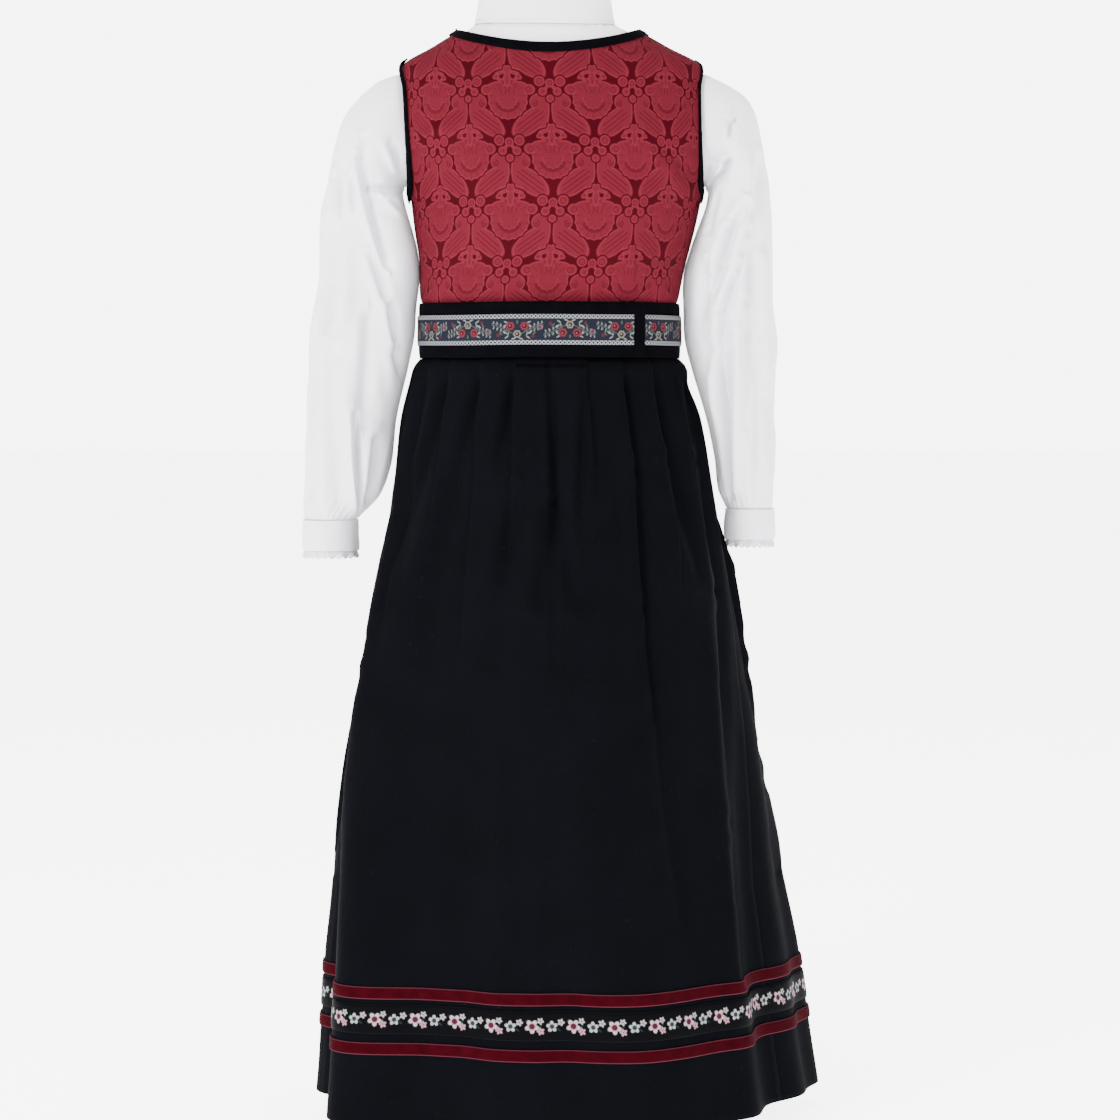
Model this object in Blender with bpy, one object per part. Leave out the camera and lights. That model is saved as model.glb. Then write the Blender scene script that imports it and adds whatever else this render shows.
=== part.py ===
"""Bunad costume for a child, in its worn form: shirt, sleeveless bodice, belt and pleated skirt.

Sizes are millimetres, and add_mesh turns them into Blender's metres. The wearer faces +Y, so the back
of the costume faces -Y, and +X is the wearer's right. The origin is on the shoulders, midway between
the two points where the neckline meets the shoulder lines.
"""
import math
from collections import namedtuple

import bmesh
import bpy
from mathutils import Vector

MM = 0.001
BACK, FRONT = -1, 1
SEAM_GAP = 0.3
LAID_GAP = 0.5

# Cloth thicknesses
SHIRT_CLOTH = 1.1
CUFF_CLOTH = 1.8
DAMASK = 1.6
VELVET = 1.3
BELT_CLOTH = 2.0
SKIRT_WOOL = 2.0
RIBBON = 1.0

# The general figure that the costume is cut to: half width, depth behind and in front, shift to the
# wearer's right, and how square its section is (2 is an ellipse), from the neck down to the hips
Form = namedtuple("Form", "z half_width back front shift square")
FORM = (
    Form(10, 60, 47, 45, -4, 2),
    Form(0, 77, 50, 47, -0.5, 2),
    Form(-14, 101, 54, 52, 1, 2),
    Form(-28, 125, 59, 58, 2.5, 2.2),
    Form(-50, 129, 67, 66, 3, 2.7),
    Form(-80, 131, 77, 75, 4, 2.9),
    Form(-110, 129, 84, 83, 5.5, 2.7),
    Form(-136, 123.5, 87, 87, 6, 2.4),
    Form(-166, 118.5, 87, 87, 5, 2.3),
    Form(-196, 112.6, 85, 84, 3, 2.2),
    Form(-215, 110.3, 84, 83, 1, 2.2),
    Form(-224, 109, 83, 82, 0.5, 2.2),
    Form(-231, 106.5, 81, 80, 0.5, 2.2),
    Form(-240, 105, 80, 79, 0.5, 2.2),
    Form(-285, 105, 80, 79, 0.5, 2.2),
    Form(-340, 109, 83, 83, 1, 2.2),
)

# A cut piece of the upper body. Its neckline and shoulder line are its top edge, neck_part is the
# share of its columns that start on the neckline, and hole_cut is how far its armhole cuts in, degrees
Cut = namedtuple("Cut", "neck_z centre_z shoulder_z underarm_z hole_cut neck_part inset cloth")
BODICE_BACK = Cut(0, -15.5, -28, -136, 26, 0.6, 0, DAMASK)
BODICE_FRONT = Cut(0, -62, -28, -136, 31, 0.6, 0, DAMASK)
SHIRT_BACK = Cut(9, 3, -33, -131, 22, 0.45, 4.7, SHIRT_CLOTH)
SHIRT_FRONT = Cut(9, -13, -33, -131, 26, 0.45, 4.7, SHIRT_CLOTH)
NECK_ROUND = 1.6
HOLE_REACH = 2
BODICE_HEM_Z = -246
SHIRT_HEM_Z = -325
BINDING = 8
BINDING_OVERHANG = 1
COLLAR_HEIGHT = 29
COLLAR_TOP_SHARE = 0.91
COLLAR_SPLIT = 0.006
COLLAR_LEAN = 2
COLLAR_FOOT = 0.6
COLLAR_BUTTON_PLACE = 0.5
PLACKET_WIDTH = 15

# Sleeve rings. Each stands in a plane from its outer point to its inner point, beside the body
Ring = namedtuple("Ring", "outer_x outer_z inner_x inner_z depth forward")
LEFT_SLEEVE = (
    Ring(-129, -36.5, -122.5, -130, 42, 0),
    Ring(-146, -43, -124.5, -131.5, 46, 0),
    Ring(-161.5, -56, -125, -137, 48, 0),
    Ring(-172, -71, -124.5, -143, 48, -1),
    Ring(-179.5, -93, -123, -152, 47, -1),
    Ring(-186, -122, -120, -166, 46, 0),
    Ring(-191, -150, -116.5, -184, 45, 1),
    Ring(-194, -185, -113.5, -206, 43, 3),
    Ring(-197, -220, -113.5, -229, 43, 4),
    Ring(-203, -252, -114, -254, 43, 5),
    Ring(-204.5, -285, -120, -284, 42, 6),
    Ring(-207, -325, -129, -322, 41, 7),
    Ring(-208.5, -365, -134, -362, 37, 8),
    Ring(-209, -393, -144, -390, 31, 9),
    Ring(-209, -408, -160, -407, 26, 10),
)
RIGHT_SLEEVE = (
    Ring(132, -36, 133, -130, 42, 0),
    Ring(153, -45.5, 135.5, -131.5, 46, 0),
    Ring(166, -56, 136, -136, 48, 0),
    Ring(174, -70, 135.5, -142, 48, -1),
    Ring(180, -92, 133.5, -151, 47, -1),
    Ring(185, -126, 130, -165, 46, 0),
    Ring(188, -158, 124.5, -184, 45, 1),
    Ring(189.5, -195, 118, -206, 43, 3),
    Ring(190, -225, 115, -230, 43, 4),
    Ring(192, -257, 115, -257, 42, 5),
    Ring(193, -288, 122, -286, 41, 6),
    Ring(192.5, -325, 133, -322, 39, 7),
    Ring(192, -362, 141, -358, 34, 8),
    Ring(191.5, -386, 144, -384, 29, 9),
    Ring(190.5, -399, 150, -398, 25, 10),
)
Cuff = namedtuple("Cuff", "x y half_width depth top_z height")
CUFFS = {"left": Cuff(-186.5, 11, 21.8, 24, -412, 26), "right": Cuff(171.2, 11, 19.2, 22.5, -402.5, 26)}
LACE_DEPTH = 6.5
LACE_WAVES = 12
LACE_WAVE_RISE = 1.2

# Belt: a band that winds once round the waist and laps over itself at the back, on the right
BELT_TOP_Z = -229
BELT_HEIGHT = 46
BELT_CLEARANCE = 1.6
BELT_LAP_RISE = 4.8
BELT_TAB_ANGLE = 42.0
BELT_LAP = 38.0
BELT_RISE_ANGLE = 70
BELT_COLUMNS = 46
BELT_CORNER = 5
BELT_RIBBON_HEIGHT = 25
BELT_RIBBON_BORDER = 8

# Skirt: centre, half width and depths of the cloth's fold edges, from the waistband to the hem
Skirt = namedtuple("Skirt", "z half_width back front shift")
SKIRT = (
    Skirt(-276.8, 110, 86, 85, 0.5),
    Skirt(-284, 116, 92, 90, 1),
    Skirt(-296, 118.5, 96, 94, 0.5),
    Skirt(-327, 127.5, 105, 101, 1.7),
    Skirt(-378, 134.7, 114, 109, 4),
    Skirt(-446, 147, 124, 118, 3.5),
    Skirt(-514, 158, 133, 126, 4.3),
    Skirt(-582, 169, 142, 133, 4.8),
    Skirt(-650, 179, 150, 140, 6.4),
    Skirt(-718, 188, 156, 146, 9.4),
    Skirt(-778, 197, 161, 150, 12),
)
SKIRT_HEM_Z = -899
HEM_FLARE = 0.062
HEM_SHIFT = 5
SKIRT_ROWS = (-276.8, -285, -300, -327, -370, -425, -490, -570, -660, -778, -850, SKIRT_HEM_Z)
WAISTBAND_TOP_Z = -246.3
WAISTBAND_LOW_Z = -276.4

# Pleats on each side of centre back: where the fold edge lies at the waist and at the hem, in degrees
# round the skirt, how deep it is, and how far down it stays crisp
Pleat = namedtuple("Pleat", "waist hem depth run")
RIGHT_PLEATS = (
    Pleat(2, 0, 4, 300), Pleat(15, 11, 4.2, 130), Pleat(31, 27, 4.5, 420), Pleat(47, 39, 4.5, 230),
    Pleat(61, 45, 3.5, 120), Pleat(75, 51, 5, 380), Pleat(90, 70, 4, 170), Pleat(105, 92, 4.5, 260),
    Pleat(120, 112, 4, 180), Pleat(135, 130, 4.5, 320), Pleat(150, 147, 4, 160), Pleat(165, 164, 4.5, 240),
    Pleat(180, 180, 0, 200),
)
LEFT_PLEATS = (
    Pleat(-2, 0, 4, 300), Pleat(-14, -13, 4.2, 200), Pleat(-29, -27, 4.5, 330), Pleat(-46, -38, 4.5, 160),
    Pleat(-61, -48, 5, 260), Pleat(-75, -62, 4, 170), Pleat(-90, -83, 4, 210), Pleat(-105, -102, 4.5, 280),
    Pleat(-120, -119, 4, 150), Pleat(-135, -134, 4.5, 300), Pleat(-150, -149, 4, 190),
    Pleat(-165, -165, 4.5, 230), Pleat(-180, -180, 0, 200),
)
# Columns of cloth in a pleat: share of its width at the waist and at the hem, and how deep it lies
PleatColumn = namedtuple("PleatColumn", "at_waist at_hem sunk")
PLEAT_COLUMNS = (
    PleatColumn(0, 0, 0), PleatColumn(0.16, 0.25, 1), PleatColumn(0.45, 0.5, 0.62), PleatColumn(0.78, 0.75, 0.25),
)
BOX_COLUMNS = (
    PleatColumn(0, 0, 1), PleatColumn(0.2, 0.25, 0), PleatColumn(0.5, 0.5, 0), PleatColumn(0.8, 0.75, 0),
)
# Soft folds that open towards the hem: middle and half width in degrees, height out of the skirt
# (below nothing for a trough), and how far above the hem each one starts
Fold = namedtuple("Fold", "middle half_width height run")
FOLDS = (
    Fold(0, 9, -3, 330), Fold(17, 17, 8, 300), Fold(40, 13, -5, 330), Fold(64, 20, -22, 380),
    Fold(84, 14, -6, 300), Fold(101, 15, 9, 300), Fold(119, 15, -16, 300), Fold(137, 15, 12, 420),
    Fold(154, 13, -13, 330), Fold(172, 13, 8, 260), Fold(-25, 10, -5, 300), Fold(-51, 19, 34, 480),
    Fold(-72, 12, -10, 300), Fold(-88, 13, 7, 340), Fold(-107, 14, -15, 360), Fold(-127, 15, 11, 300),
    Fold(-147, 13, -13, 420), Fold(-165, 13, 9, 300),
)
# Ribbons near the hem: top edge above the hem, height, and thickness
Band = namedtuple("Band", "name above_hem height cloth")
HEM_BANDS = (
    Band("hem_band_upper", 112, 10, VELVET),
    Band("flower_ribbon", 98, 24, RIBBON),
    Band("hem_band_lower", 67, 10, VELVET),
)
SATIN_TOP_Z, SATIN_LOW_Z, SATIN_COLUMNS = -280, -283, 4

HOOK_HEIGHTS = (-78, -110, -142, -174, -206)
HOOK_WIDTH, HOOK_HEIGHT, HOOK_THICKNESS = 9, 4, 1.4
BUTTON_RADIUS, BUTTON_THICKNESS, BUTTON_SIDES = 4, 1.8, 12


# Materials

def material(name, colour, roughness):
    """A plain finish of the piece's own colour."""
    made = bpy.data.materials.get(name) or bpy.data.materials.new(name)
    made.use_nodes = True
    shader = made.node_tree.nodes["Principled BSDF"]
    shader.inputs["Base Color"].default_value = (*colour, 1)
    shader.inputs["Roughness"].default_value = roughness
    return made


def finishes():
    """Every finish of the costume by name."""
    return {
        "cotton": material("white_cotton", (0.82, 0.82, 0.85), 0.8),
        "damask": material("red_damask", (0.3, 0.03, 0.05), 0.55),
        "velvet": material("black_velvet", (0.005, 0.005, 0.007), 0.95),
        "wool": material("black_wool", (0.008, 0.008, 0.01), 0.85),
        "red": material("red_velvet", (0.16, 0.004, 0.015), 0.85),
        "ribbon": material("woven_ribbon", (0.06, 0.06, 0.08), 0.6),
        "metal": material("dark_metal", (0.2, 0.2, 0.2), 0.35),
        "button": material("white_button", (0.8, 0.8, 0.78), 0.3),
    }


# Meshes

def add_mesh(name, mesh, finish):
    """A finished closed mesh as an object, with its sizes turned into metres."""
    bmesh.ops.scale(mesh, vec=(MM, MM, MM), verts=mesh.verts)
    bmesh.ops.recalc_face_normals(mesh, faces=mesh.faces)
    data = bpy.data.meshes.new(name)
    mesh.to_mesh(data)
    mesh.free()
    data.materials.append(finish)
    data.shade_smooth()
    data.set_sharp_from_angle(angle=math.radians(40))
    made = bpy.data.objects.new(name, data)
    bpy.context.scene.collection.objects.link(made)
    return made


def add_wall(name, outer, inner, finish, closed=False, even=False):
    """A wall of cloth: rows of outer points, the same rows of inner points, and rims between them.

    Each four-sided patch is two triangles, split along the shorter diagonal of its outer side, or all
    of them the same way when the wall is even.
    """
    mesh = bmesh.new()
    layers = [[[mesh.verts.new(point) for point in row] for row in layer] for layer in (outer, inner)]
    rows, columns = len(outer), len(outer[0])
    steps = columns if closed else columns - 1

    def patch(a, b, c, d):
        mesh.faces.new((a, b, c))
        mesh.faces.new((a, c, d))

    out, inn = layers
    for j in range(rows - 1):
        for i in range(steps):
            k = (i + 1) % columns
            down = (out[j][i].co - out[j + 1][k].co).length
            up = (out[j][k].co - out[j + 1][i].co).length
            for layer in layers:
                corners = [layer[j][i], layer[j][k], layer[j + 1][k], layer[j + 1][i]]
                if up < down and not even:
                    corners = corners[1:] + corners[:1]
                patch(*corners)
    for j in (0, rows - 1):
        for i in range(steps):
            k = (i + 1) % columns
            patch(out[j][i], out[j][k], inn[j][k], inn[j][i])
    if not closed:
        for i in (0, columns - 1):
            for j in range(rows - 1):
                patch(out[j][i], out[j + 1][i], inn[j + 1][i], inn[j][i])
    return add_mesh(name, mesh, finish)


def curve_through(table, z):
    """The table's row at height z, read from a smooth curve through its rows, which run downwards."""
    z = max(min(z, table[0].z), table[-1].z)
    i = next(i for i in range(len(table) - 1) if z >= table[i + 1].z)
    high, low = table[i], table[i + 1]
    step = low.z - high.z
    share = (z - high.z) / step
    before, after = table[max(i - 1, 0)], table[min(i + 2, len(table) - 1)]
    values = []
    for a, b, c, d in zip(before, high, low, after):
        slope_b = (c - a) / (low.z - before.z) * step
        slope_c = (d - b) / (after.z - high.z) * step
        values.append(
            b * (1 + 2 * share) * (1 - share) ** 2 + slope_b * share * (1 - share) ** 2
            + c * share ** 2 * (3 - 2 * share) - slope_c * share ** 2 * (1 - share)
        )
    return type(high)(*values)


def tangent(ahead, behind):
    return (ahead - behind).normalized()


def eased(share):
    """A smooth step from 0 to 1."""
    share = min(max(share, 0), 1)
    return share * share * (3 - 2 * share)


# Upper body

def form_point(side, angle, z):
    """A point on the figure. The angle is in degrees from the middle of the back or of the front."""
    row = curve_through(FORM, z)
    depth = row.back if side == BACK else row.front
    turn = math.radians(angle)
    across = math.copysign(abs(math.sin(turn)) ** (2 / row.square), angle)
    along = math.copysign(abs(math.cos(turn)) ** (2 / row.square), math.cos(turn))
    return Vector((row.shift + row.half_width * across, side * depth * along, z))


def form_normal(side, angle, z):
    """The outward direction of the figure at that point."""
    across = form_point(side, angle + 0.5, z) - form_point(side, angle - 0.5, z)
    down = form_point(side, angle, z - 1) - form_point(side, angle, z + 1)
    return (across.cross(down) * side).normalized()


def laid_point(side, angle, z, out):
    """A point that lies a distance out of the figure, or inside it when that is negative."""
    return form_point(side, angle, z) + form_normal(side, angle, z) * out


def angle_across(x, z):
    """The angle at which the figure is x wide of its middle, at height z."""
    row = curve_through(FORM, z)
    return math.degrees(math.asin(min(1, x / row.half_width) ** (row.square / 2)))


def top_edge(cut, across):
    """Distance from the middle and height where a column starts, on the neckline or the shoulder line."""
    share = abs(across)
    if share < cut.neck_part:
        turn = math.pi / 2 * share / cut.neck_part
        z = cut.neck_z + (cut.centre_z - cut.neck_z) * math.cos(turn) ** NECK_ROUND
        return curve_through(FORM, cut.neck_z).half_width * math.sin(turn), z
    along = (share - cut.neck_part) / (1 - cut.neck_part)
    z = cut.neck_z + along * (cut.shoulder_z - cut.neck_z)
    return curve_through(FORM, z).half_width, z


def neckline_at(cut, z):
    """The column that starts on the neckline at height z, and its angle there."""
    if z <= cut.centre_z:
        return 0, 0
    fall = max(cut.neck_z - z, 0) / (cut.neck_z - cut.centre_z)
    turn = math.acos(fall ** (1 / NECK_ROUND))
    across = cut.neck_part * turn / (math.pi / 2)
    return across, angle_across(curve_through(FORM, cut.neck_z).half_width * math.sin(turn), z)


def shoulder_at(cut, z):
    """The column that starts on the shoulder line at height z, or the armhole's edge below it."""
    share = min((cut.neck_z - z) / (cut.neck_z - cut.shoulder_z), 1)
    return cut.neck_part + (1 - cut.neck_part) * share


def armhole_angle(cut, z):
    """Angle of the armhole's edge."""
    share = min(max((cut.shoulder_z - z) / (cut.shoulder_z - cut.underarm_z), 0), 1)
    return 90 - cut.hole_cut * math.sqrt(4 * share * (1 - share))


PATH_STEPS = 40


def column_path(side, cut, across, rim):
    """Spots down a column from its top edge to the underarm, with the length to each.

    At every height the columns are spread from the neckline, or the middle below it, to the shoulder
    line, or the armhole below that. Inside the armhole's edge they end a rim's width lower than it does.
    """
    share = abs(across)
    lowest = cut.underarm_z - (rim if share < 1 else 0)
    _, top = top_edge(cut, across)
    path, length, before = [], 0, None
    for step in range(PATH_STEPS + 1):
        fallen = (step / PATH_STEPS) ** 2
        z = top + (lowest - top) * fallen
        edge_z = top + (cut.underarm_z - top) * fallen
        near, near_angle = neckline_at(cut, z)
        far = shoulder_at(cut, z)
        part = (share - near) / (far - near) if far > near else 1
        cut_in = (90 - armhole_angle(cut, edge_z)) * max(part, 0) ** HOLE_REACH
        angle = near_angle + (90 - near_angle) * part - cut_in
        spot = (math.copysign(angle, across), z)
        point = form_point(side, *spot)
        length += (point - before).length if before else 0
        path.append((length, spot))
        before = point
    return path


def spot_along(path, length):
    """The spot at a length down a column's path."""
    for (near, high), (far, low) in zip(path, path[1:]):
        if length <= far:
            share = (length - near) / (far - near)
            return tuple(a + (b - a) * share for a, b in zip(high, low))
    return path[-1][1]


def panel_spots(side, cut, columns, rows, lower_heights, rim):
    """Rows of angles and heights. The row after the top edge lies a rim's width below it."""
    spots = [[] for _ in range(rows + 1 + len(lower_heights))]
    for across in columns:
        path = column_path(side, cut, across, rim)
        total = path[-1][0]
        for j in range(rows + 1):
            if rim:
                length = 0 if j == 0 else rim + (total - rim) * (j - 1) / (rows - 1)
            else:
                length = total * j / rows
            spots[j].append(spot_along(path, length))
        for j, z in enumerate(lower_heights):
            spots[rows + 1 + j].append((across * 90, z))
    return spots


def panel_grid(side, cut, spots, out):
    """Points of a panel a distance out of its cut's surface, kept clear of the seams at its sides."""
    grid = []
    for row in spots:
        points = []
        for angle, z in row:
            point = laid_point(side, angle, z, out - cut.inset)
            if abs(point.y) < SEAM_GAP / 2 or abs(angle) > 89.99:
                point.y = side * SEAM_GAP / 2
            points.append(point)
        grid.append(points)
    return grid


def half_columns(cut, neck_steps, shoulder_steps, rim_share, rim_start):
    """Column positions from the middle to the armhole, with one a rim's width inside each edge."""
    neck = [cut.neck_part * i / neck_steps for i in range(neck_steps + 1)]
    first = cut.neck_part + rim_start
    last = 1 - rim_share
    shoulder = [first + (last - first) * i / shoulder_steps for i in range(shoulder_steps + 1)]
    return neck + shoulder + [1]


def mirrored(columns):
    return [-across for across in reversed(columns[1:])] + columns


RIM_SHARE = 0.055
RIM_START = 0.058
NECK_STEPS = 5
BODICE_HALF = half_columns(BODICE_BACK, NECK_STEPS, 2, RIM_SHARE, RIM_START)
BODICE_ROWS = 7
BODICE_LOWER = (-154, -172, -196, -222, BODICE_HEM_Z)
SHIRT_HALF = half_columns(SHIRT_BACK, NECK_STEPS, 1, 0.18, 0.18)
SHIRT_ROWS = 9
SHIRT_LOWER = (-166, -205, -250, SHIRT_HEM_Z)


def bodice_spots(side):
    cut = BODICE_BACK if side == BACK else BODICE_FRONT
    return cut, panel_spots(side, cut, mirrored(BODICE_HALF), BODICE_ROWS, BODICE_LOWER, BINDING)


def add_bodice(finish):
    cut, spots = bodice_spots(BACK)
    add_wall("bodice_back", panel_grid(BACK, cut, spots, 0), panel_grid(BACK, cut, spots, -cut.cloth), finish)
    cut, spots = bodice_spots(FRONT)
    middle = len(BODICE_HALF) - 1
    for name, sign, part in (("left", -1, slice(None, middle + 1)), ("right", 1, slice(middle, None))):
        walls = []
        for out in (0, -cut.cloth):
            grid = [row[part] for row in panel_grid(FRONT, cut, spots, out)]
            for row in grid:
                edge = row[-1] if sign < 0 else row[0]
                edge.x += sign * SEAM_GAP / 2
            walls.append(grid)
        add_wall("bodice_front_" + name, *walls, finish)


def add_strip(name, pairs, finish, cloth, overhang, closed):
    """Velvet laid on panels. Each pair is an edge spot and a far spot, as side, angle and height."""
    rows = {"outer": ([], []), "inner": ([], [])}
    for edge_spots, far_spot in pairs:
        for key, out in (("outer", LAID_GAP + cloth), ("inner", LAID_GAP)):
            edge = sum((laid_point(*spot, out) * weight for spot, weight in edge_spots), Vector())
            far = laid_point(*far_spot, out)
            rows[key][0].append(edge + tangent(edge, far) * overhang)
            rows[key][1].append(far)
    add_wall(name, list(rows["outer"]), list(rows["inner"]), finish, closed)


def one(side, spot):
    return [((side, *spot), 1)]


def between(side, spot, corner, share):
    return [((side, *spot), share), ((side, *corner), 1 - share)]


CORNER_SHARE = 0.12


def add_neck_binding(finish):
    """Velvet round the neckline, open at centre front."""
    _, back = bodice_spots(BACK)
    _, front = bodice_spots(FRONT)
    middle = len(BODICE_HALF) - 1
    pairs = []
    first, last = middle - NECK_STEPS, middle + NECK_STEPS
    for i in range(middle, first, -1):
        pairs.append((one(FRONT, front[0][i]), (FRONT, *front[1][i])))
    corner = (BACK, *back[0][first])
    pairs.append((between(FRONT, front[0][first + 1], front[0][first], CORNER_SHARE), (FRONT, *front[1][first])))
    pairs.append(([(corner, 1)], (BACK, *back[0][first - 1])))
    pairs.append((between(BACK, back[0][first + 1], back[0][first], CORNER_SHARE), (BACK, *back[1][first])))
    for i in range(first + 1, last):
        pairs.append((one(BACK, back[0][i]), (BACK, *back[1][i])))
    corner = (BACK, *back[0][last])
    pairs.append((between(BACK, back[0][last - 1], back[0][last], CORNER_SHARE), (BACK, *back[1][last])))
    pairs.append(([(corner, 1)], (BACK, *back[0][last + 1])))
    pairs.append((between(FRONT, front[0][last - 1], front[0][last], CORNER_SHARE), (FRONT, *front[1][last])))
    for i in range(last - 1, middle - 1, -1):
        pairs.append((one(FRONT, front[0][i]), (FRONT, *front[1][i])))
    split = 0.4
    pairs[0] = (one(FRONT, (-split, front[0][middle][1])), (FRONT, -split, front[1][middle][1]))
    pairs[-1] = (one(FRONT, (split, front[0][middle][1])), (FRONT, split, front[1][middle][1]))
    add_strip("bodice_neck_binding", pairs, finish, VELVET, BINDING_OVERHANG, closed=False)


def add_armhole_bindings(finish):
    """Velvet round each armhole, from the panels' last two columns."""
    _, back = bodice_spots(BACK)
    _, front = bodice_spots(FRONT)
    for name, edge, far in (("left", 0, 1), ("right", -1, -2)):
        pairs = [(one(BACK, back[0][edge]), (BACK, *back[0][far]))]
        for j in range(1, BODICE_ROWS):
            pairs.append((one(BACK, back[j][edge]), (BACK, *back[j][far])))
        low = BODICE_ROWS
        for side, spots, order in ((BACK, back, 1), (FRONT, front, -1)):
            corner_pair = (between(side, spots[low - 1][edge], spots[low][edge], CORNER_SHARE),
                           (side, *spots[low][far]))
            corner = back[low][edge]
            seam_pair = (one(BACK, corner), (BACK, corner[0], corner[1] - BINDING))
            pairs.extend([corner_pair, seam_pair] if order > 0 else [corner_pair])
        for j in range(BODICE_ROWS - 1, 0, -1):
            pairs.append((one(FRONT, front[j][edge]), (FRONT, *front[j][far])))
        add_strip("bodice_armhole_binding_" + name, pairs, finish, VELVET, BINDING_OVERHANG, True)


def add_hooks(finish):
    """Plain flat hooks across the closed centre front."""
    for number, height in enumerate(HOOK_HEIGHTS, 1):
        layers = []
        for out in (LAID_GAP + HOOK_THICKNESS, LAID_GAP):
            layer = []
            for z in (height + HOOK_HEIGHT / 2, height - HOOK_HEIGHT / 2):
                half = angle_across(HOOK_WIDTH / 2, z)
                layer.append([laid_point(FRONT, angle, z, out) for angle in (-half, half)])
            layers.append(layer)
        add_wall(f"bodice_hook_{number}", *layers, finish)


def shirt_spots(side):
    cut = SHIRT_BACK if side == BACK else SHIRT_FRONT
    return cut, panel_spots(side, cut, mirrored(SHIRT_HALF), SHIRT_ROWS, SHIRT_LOWER, 0)


def add_shirt_body(finish):
    for name, side in (("shirt_back", BACK), ("shirt_front", FRONT)):
        cut, spots = shirt_spots(side)
        add_wall(name, panel_grid(side, cut, spots, 0), panel_grid(side, cut, spots, -cut.cloth), finish)


def neckline_point(side, share):
    """A point on the shirt's neck edge. The share runs from -1 to 1 between the shoulder lines."""
    cut = SHIRT_BACK if side == BACK else SHIRT_FRONT
    x, z = top_edge(cut, cut.neck_part * min(abs(share), 0.9999))
    return laid_point(side, math.copysign(angle_across(x, z), share), z, -cut.inset)


def collar_point(side, share, rise, out):
    """A point on the standing collar, which narrows a little and leans forward as it rises."""
    foot = neckline_point(side, share)
    middle = Vector((curve_through(FORM, SHIRT_BACK.neck_z).shift, 0, 0))
    flat = Vector((foot.x, foot.y, 0)) - middle
    flat = flat * (1 + (COLLAR_TOP_SHARE - 1) * rise) + flat.normalized() * out
    return middle + flat + Vector((0, COLLAR_LEAN * rise, foot.z + COLLAR_FOOT + COLLAR_HEIGHT * rise))


def add_collar(finish):
    """Standing band on the neck edge, with its ends together at centre front."""
    steps = NECK_STEPS
    places = [(FRONT, -COLLAR_SPLIT)] + [(FRONT, -i / steps) for i in range(1, steps)]
    places += [(BACK, i / steps - 1) for i in range(2 * steps + 1)]
    places += [(FRONT, i / steps) for i in range(steps - 1, 0, -1)] + [(FRONT, COLLAR_SPLIT)]
    walls = []
    for out in (0, -CUFF_CLOTH):
        walls.append([[collar_point(side, share, rise, out) for side, share in places] for rise in (0, 0.5, 1)])
    add_wall("shirt_collar", *walls, finish)


def add_placket(finish):
    """Narrow band down the shirt's centre front, over its slit."""
    cut, _ = shirt_spots(FRONT)
    heights = [cut.centre_z - 3 - 13 * i for i in range(4)] + [-62]
    walls = []
    for out in (LAID_GAP - cut.inset + 1.0, LAID_GAP - cut.inset):
        rows = []
        for z in heights:
            half = angle_across(PLACKET_WIDTH / 2, z)
            rows.append([laid_point(FRONT, angle, z, out) for angle in (-half, 0, half)])
        walls.append(rows)
    add_wall("shirt_placket", *walls, finish)


def add_button(name, point, normal, finish):
    """A small round button that lies flat, with its underside at the point."""
    mesh = bmesh.new()
    bmesh.ops.create_cone(mesh, cap_ends=True, segments=BUTTON_SIDES, radius1=BUTTON_RADIUS,
                          radius2=BUTTON_RADIUS * 0.9, depth=BUTTON_THICKNESS)
    turn = Vector((0, 0, 1)).rotation_difference(normal).to_matrix()
    bmesh.ops.rotate(mesh, verts=mesh.verts, matrix=turn)
    bmesh.ops.translate(mesh, verts=mesh.verts, vec=point + normal * BUTTON_THICKNESS / 2)
    add_mesh(name, mesh, finish)


def add_buttons(finish):
    cut = SHIRT_FRONT
    for number, z in enumerate((-28, -46), 1):
        normal = form_normal(FRONT, 0, z)
        point = laid_point(FRONT, 0, z, LAID_GAP - cut.inset + 1.0 + 0.4)
        add_button(f"shirt_button_{number}", point, normal, finish)
    near, far = collar_point(FRONT, 0, 0.5, SEAM_GAP), collar_point(FRONT, 1 / NECK_STEPS, 0.5, SEAM_GAP)
    rise = collar_point(FRONT, 0, 1, 0) - collar_point(FRONT, 0, 0, 0)
    normal = rise.cross(far - near).normalized()
    add_button("collar_button", near.lerp(far, COLLAR_BUTTON_PLACE), normal, finish)


# Sleeves

def armhole_ring(sign, shrink):
    """Points just outside the shirt's armhole edge: underarm, up the back, shoulder, down the front."""
    edge = 0 if sign < 0 else -1
    grids = {}
    for side in (BACK, FRONT):
        cut, spots = shirt_spots(side)
        grids[side] = panel_grid(side, cut, spots[:SHIRT_ROWS + 1], 0)
    ring = [grids[BACK][j][edge] for j in range(SHIRT_ROWS, -1, -1)]
    ring += [grids[FRONT][j][edge] for j in range(1, SHIRT_ROWS)]
    for i in (0, SHIRT_ROWS):
        ring[i].y = 0
    middle = sum(ring, Vector()) / len(ring)
    ring = [point + tangent(middle, point) * shrink for point in ring]
    return [point + Vector((sign * LAID_GAP, 0, 0)) for point in ring]


def sleeve_ring(row, count, shrink):
    """An upright or level oval between a sleeve row's inner and outer points."""
    outer = Vector((row.outer_x, 0, row.outer_z))
    inner = Vector((row.inner_x, 0, row.inner_z))
    middle = (outer + inner) / 2
    half = inner - middle
    half *= 1 - shrink / half.length
    points = []
    for i in range(count):
        turn = math.tau * i / count
        point = middle + half * math.cos(turn)
        point.y = row.forward - (row.depth - shrink) * math.sin(turn)
        points.append(point)
    return points


def cuff_row(cuff, sign):
    """The sleeve's last ring, gathered onto the top of its cuff."""
    z = cuff.top_z + SEAM_GAP
    outward = sign * cuff.half_width
    return Ring(cuff.x + outward, z, cuff.x - outward, z, cuff.depth, cuff.y)


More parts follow.
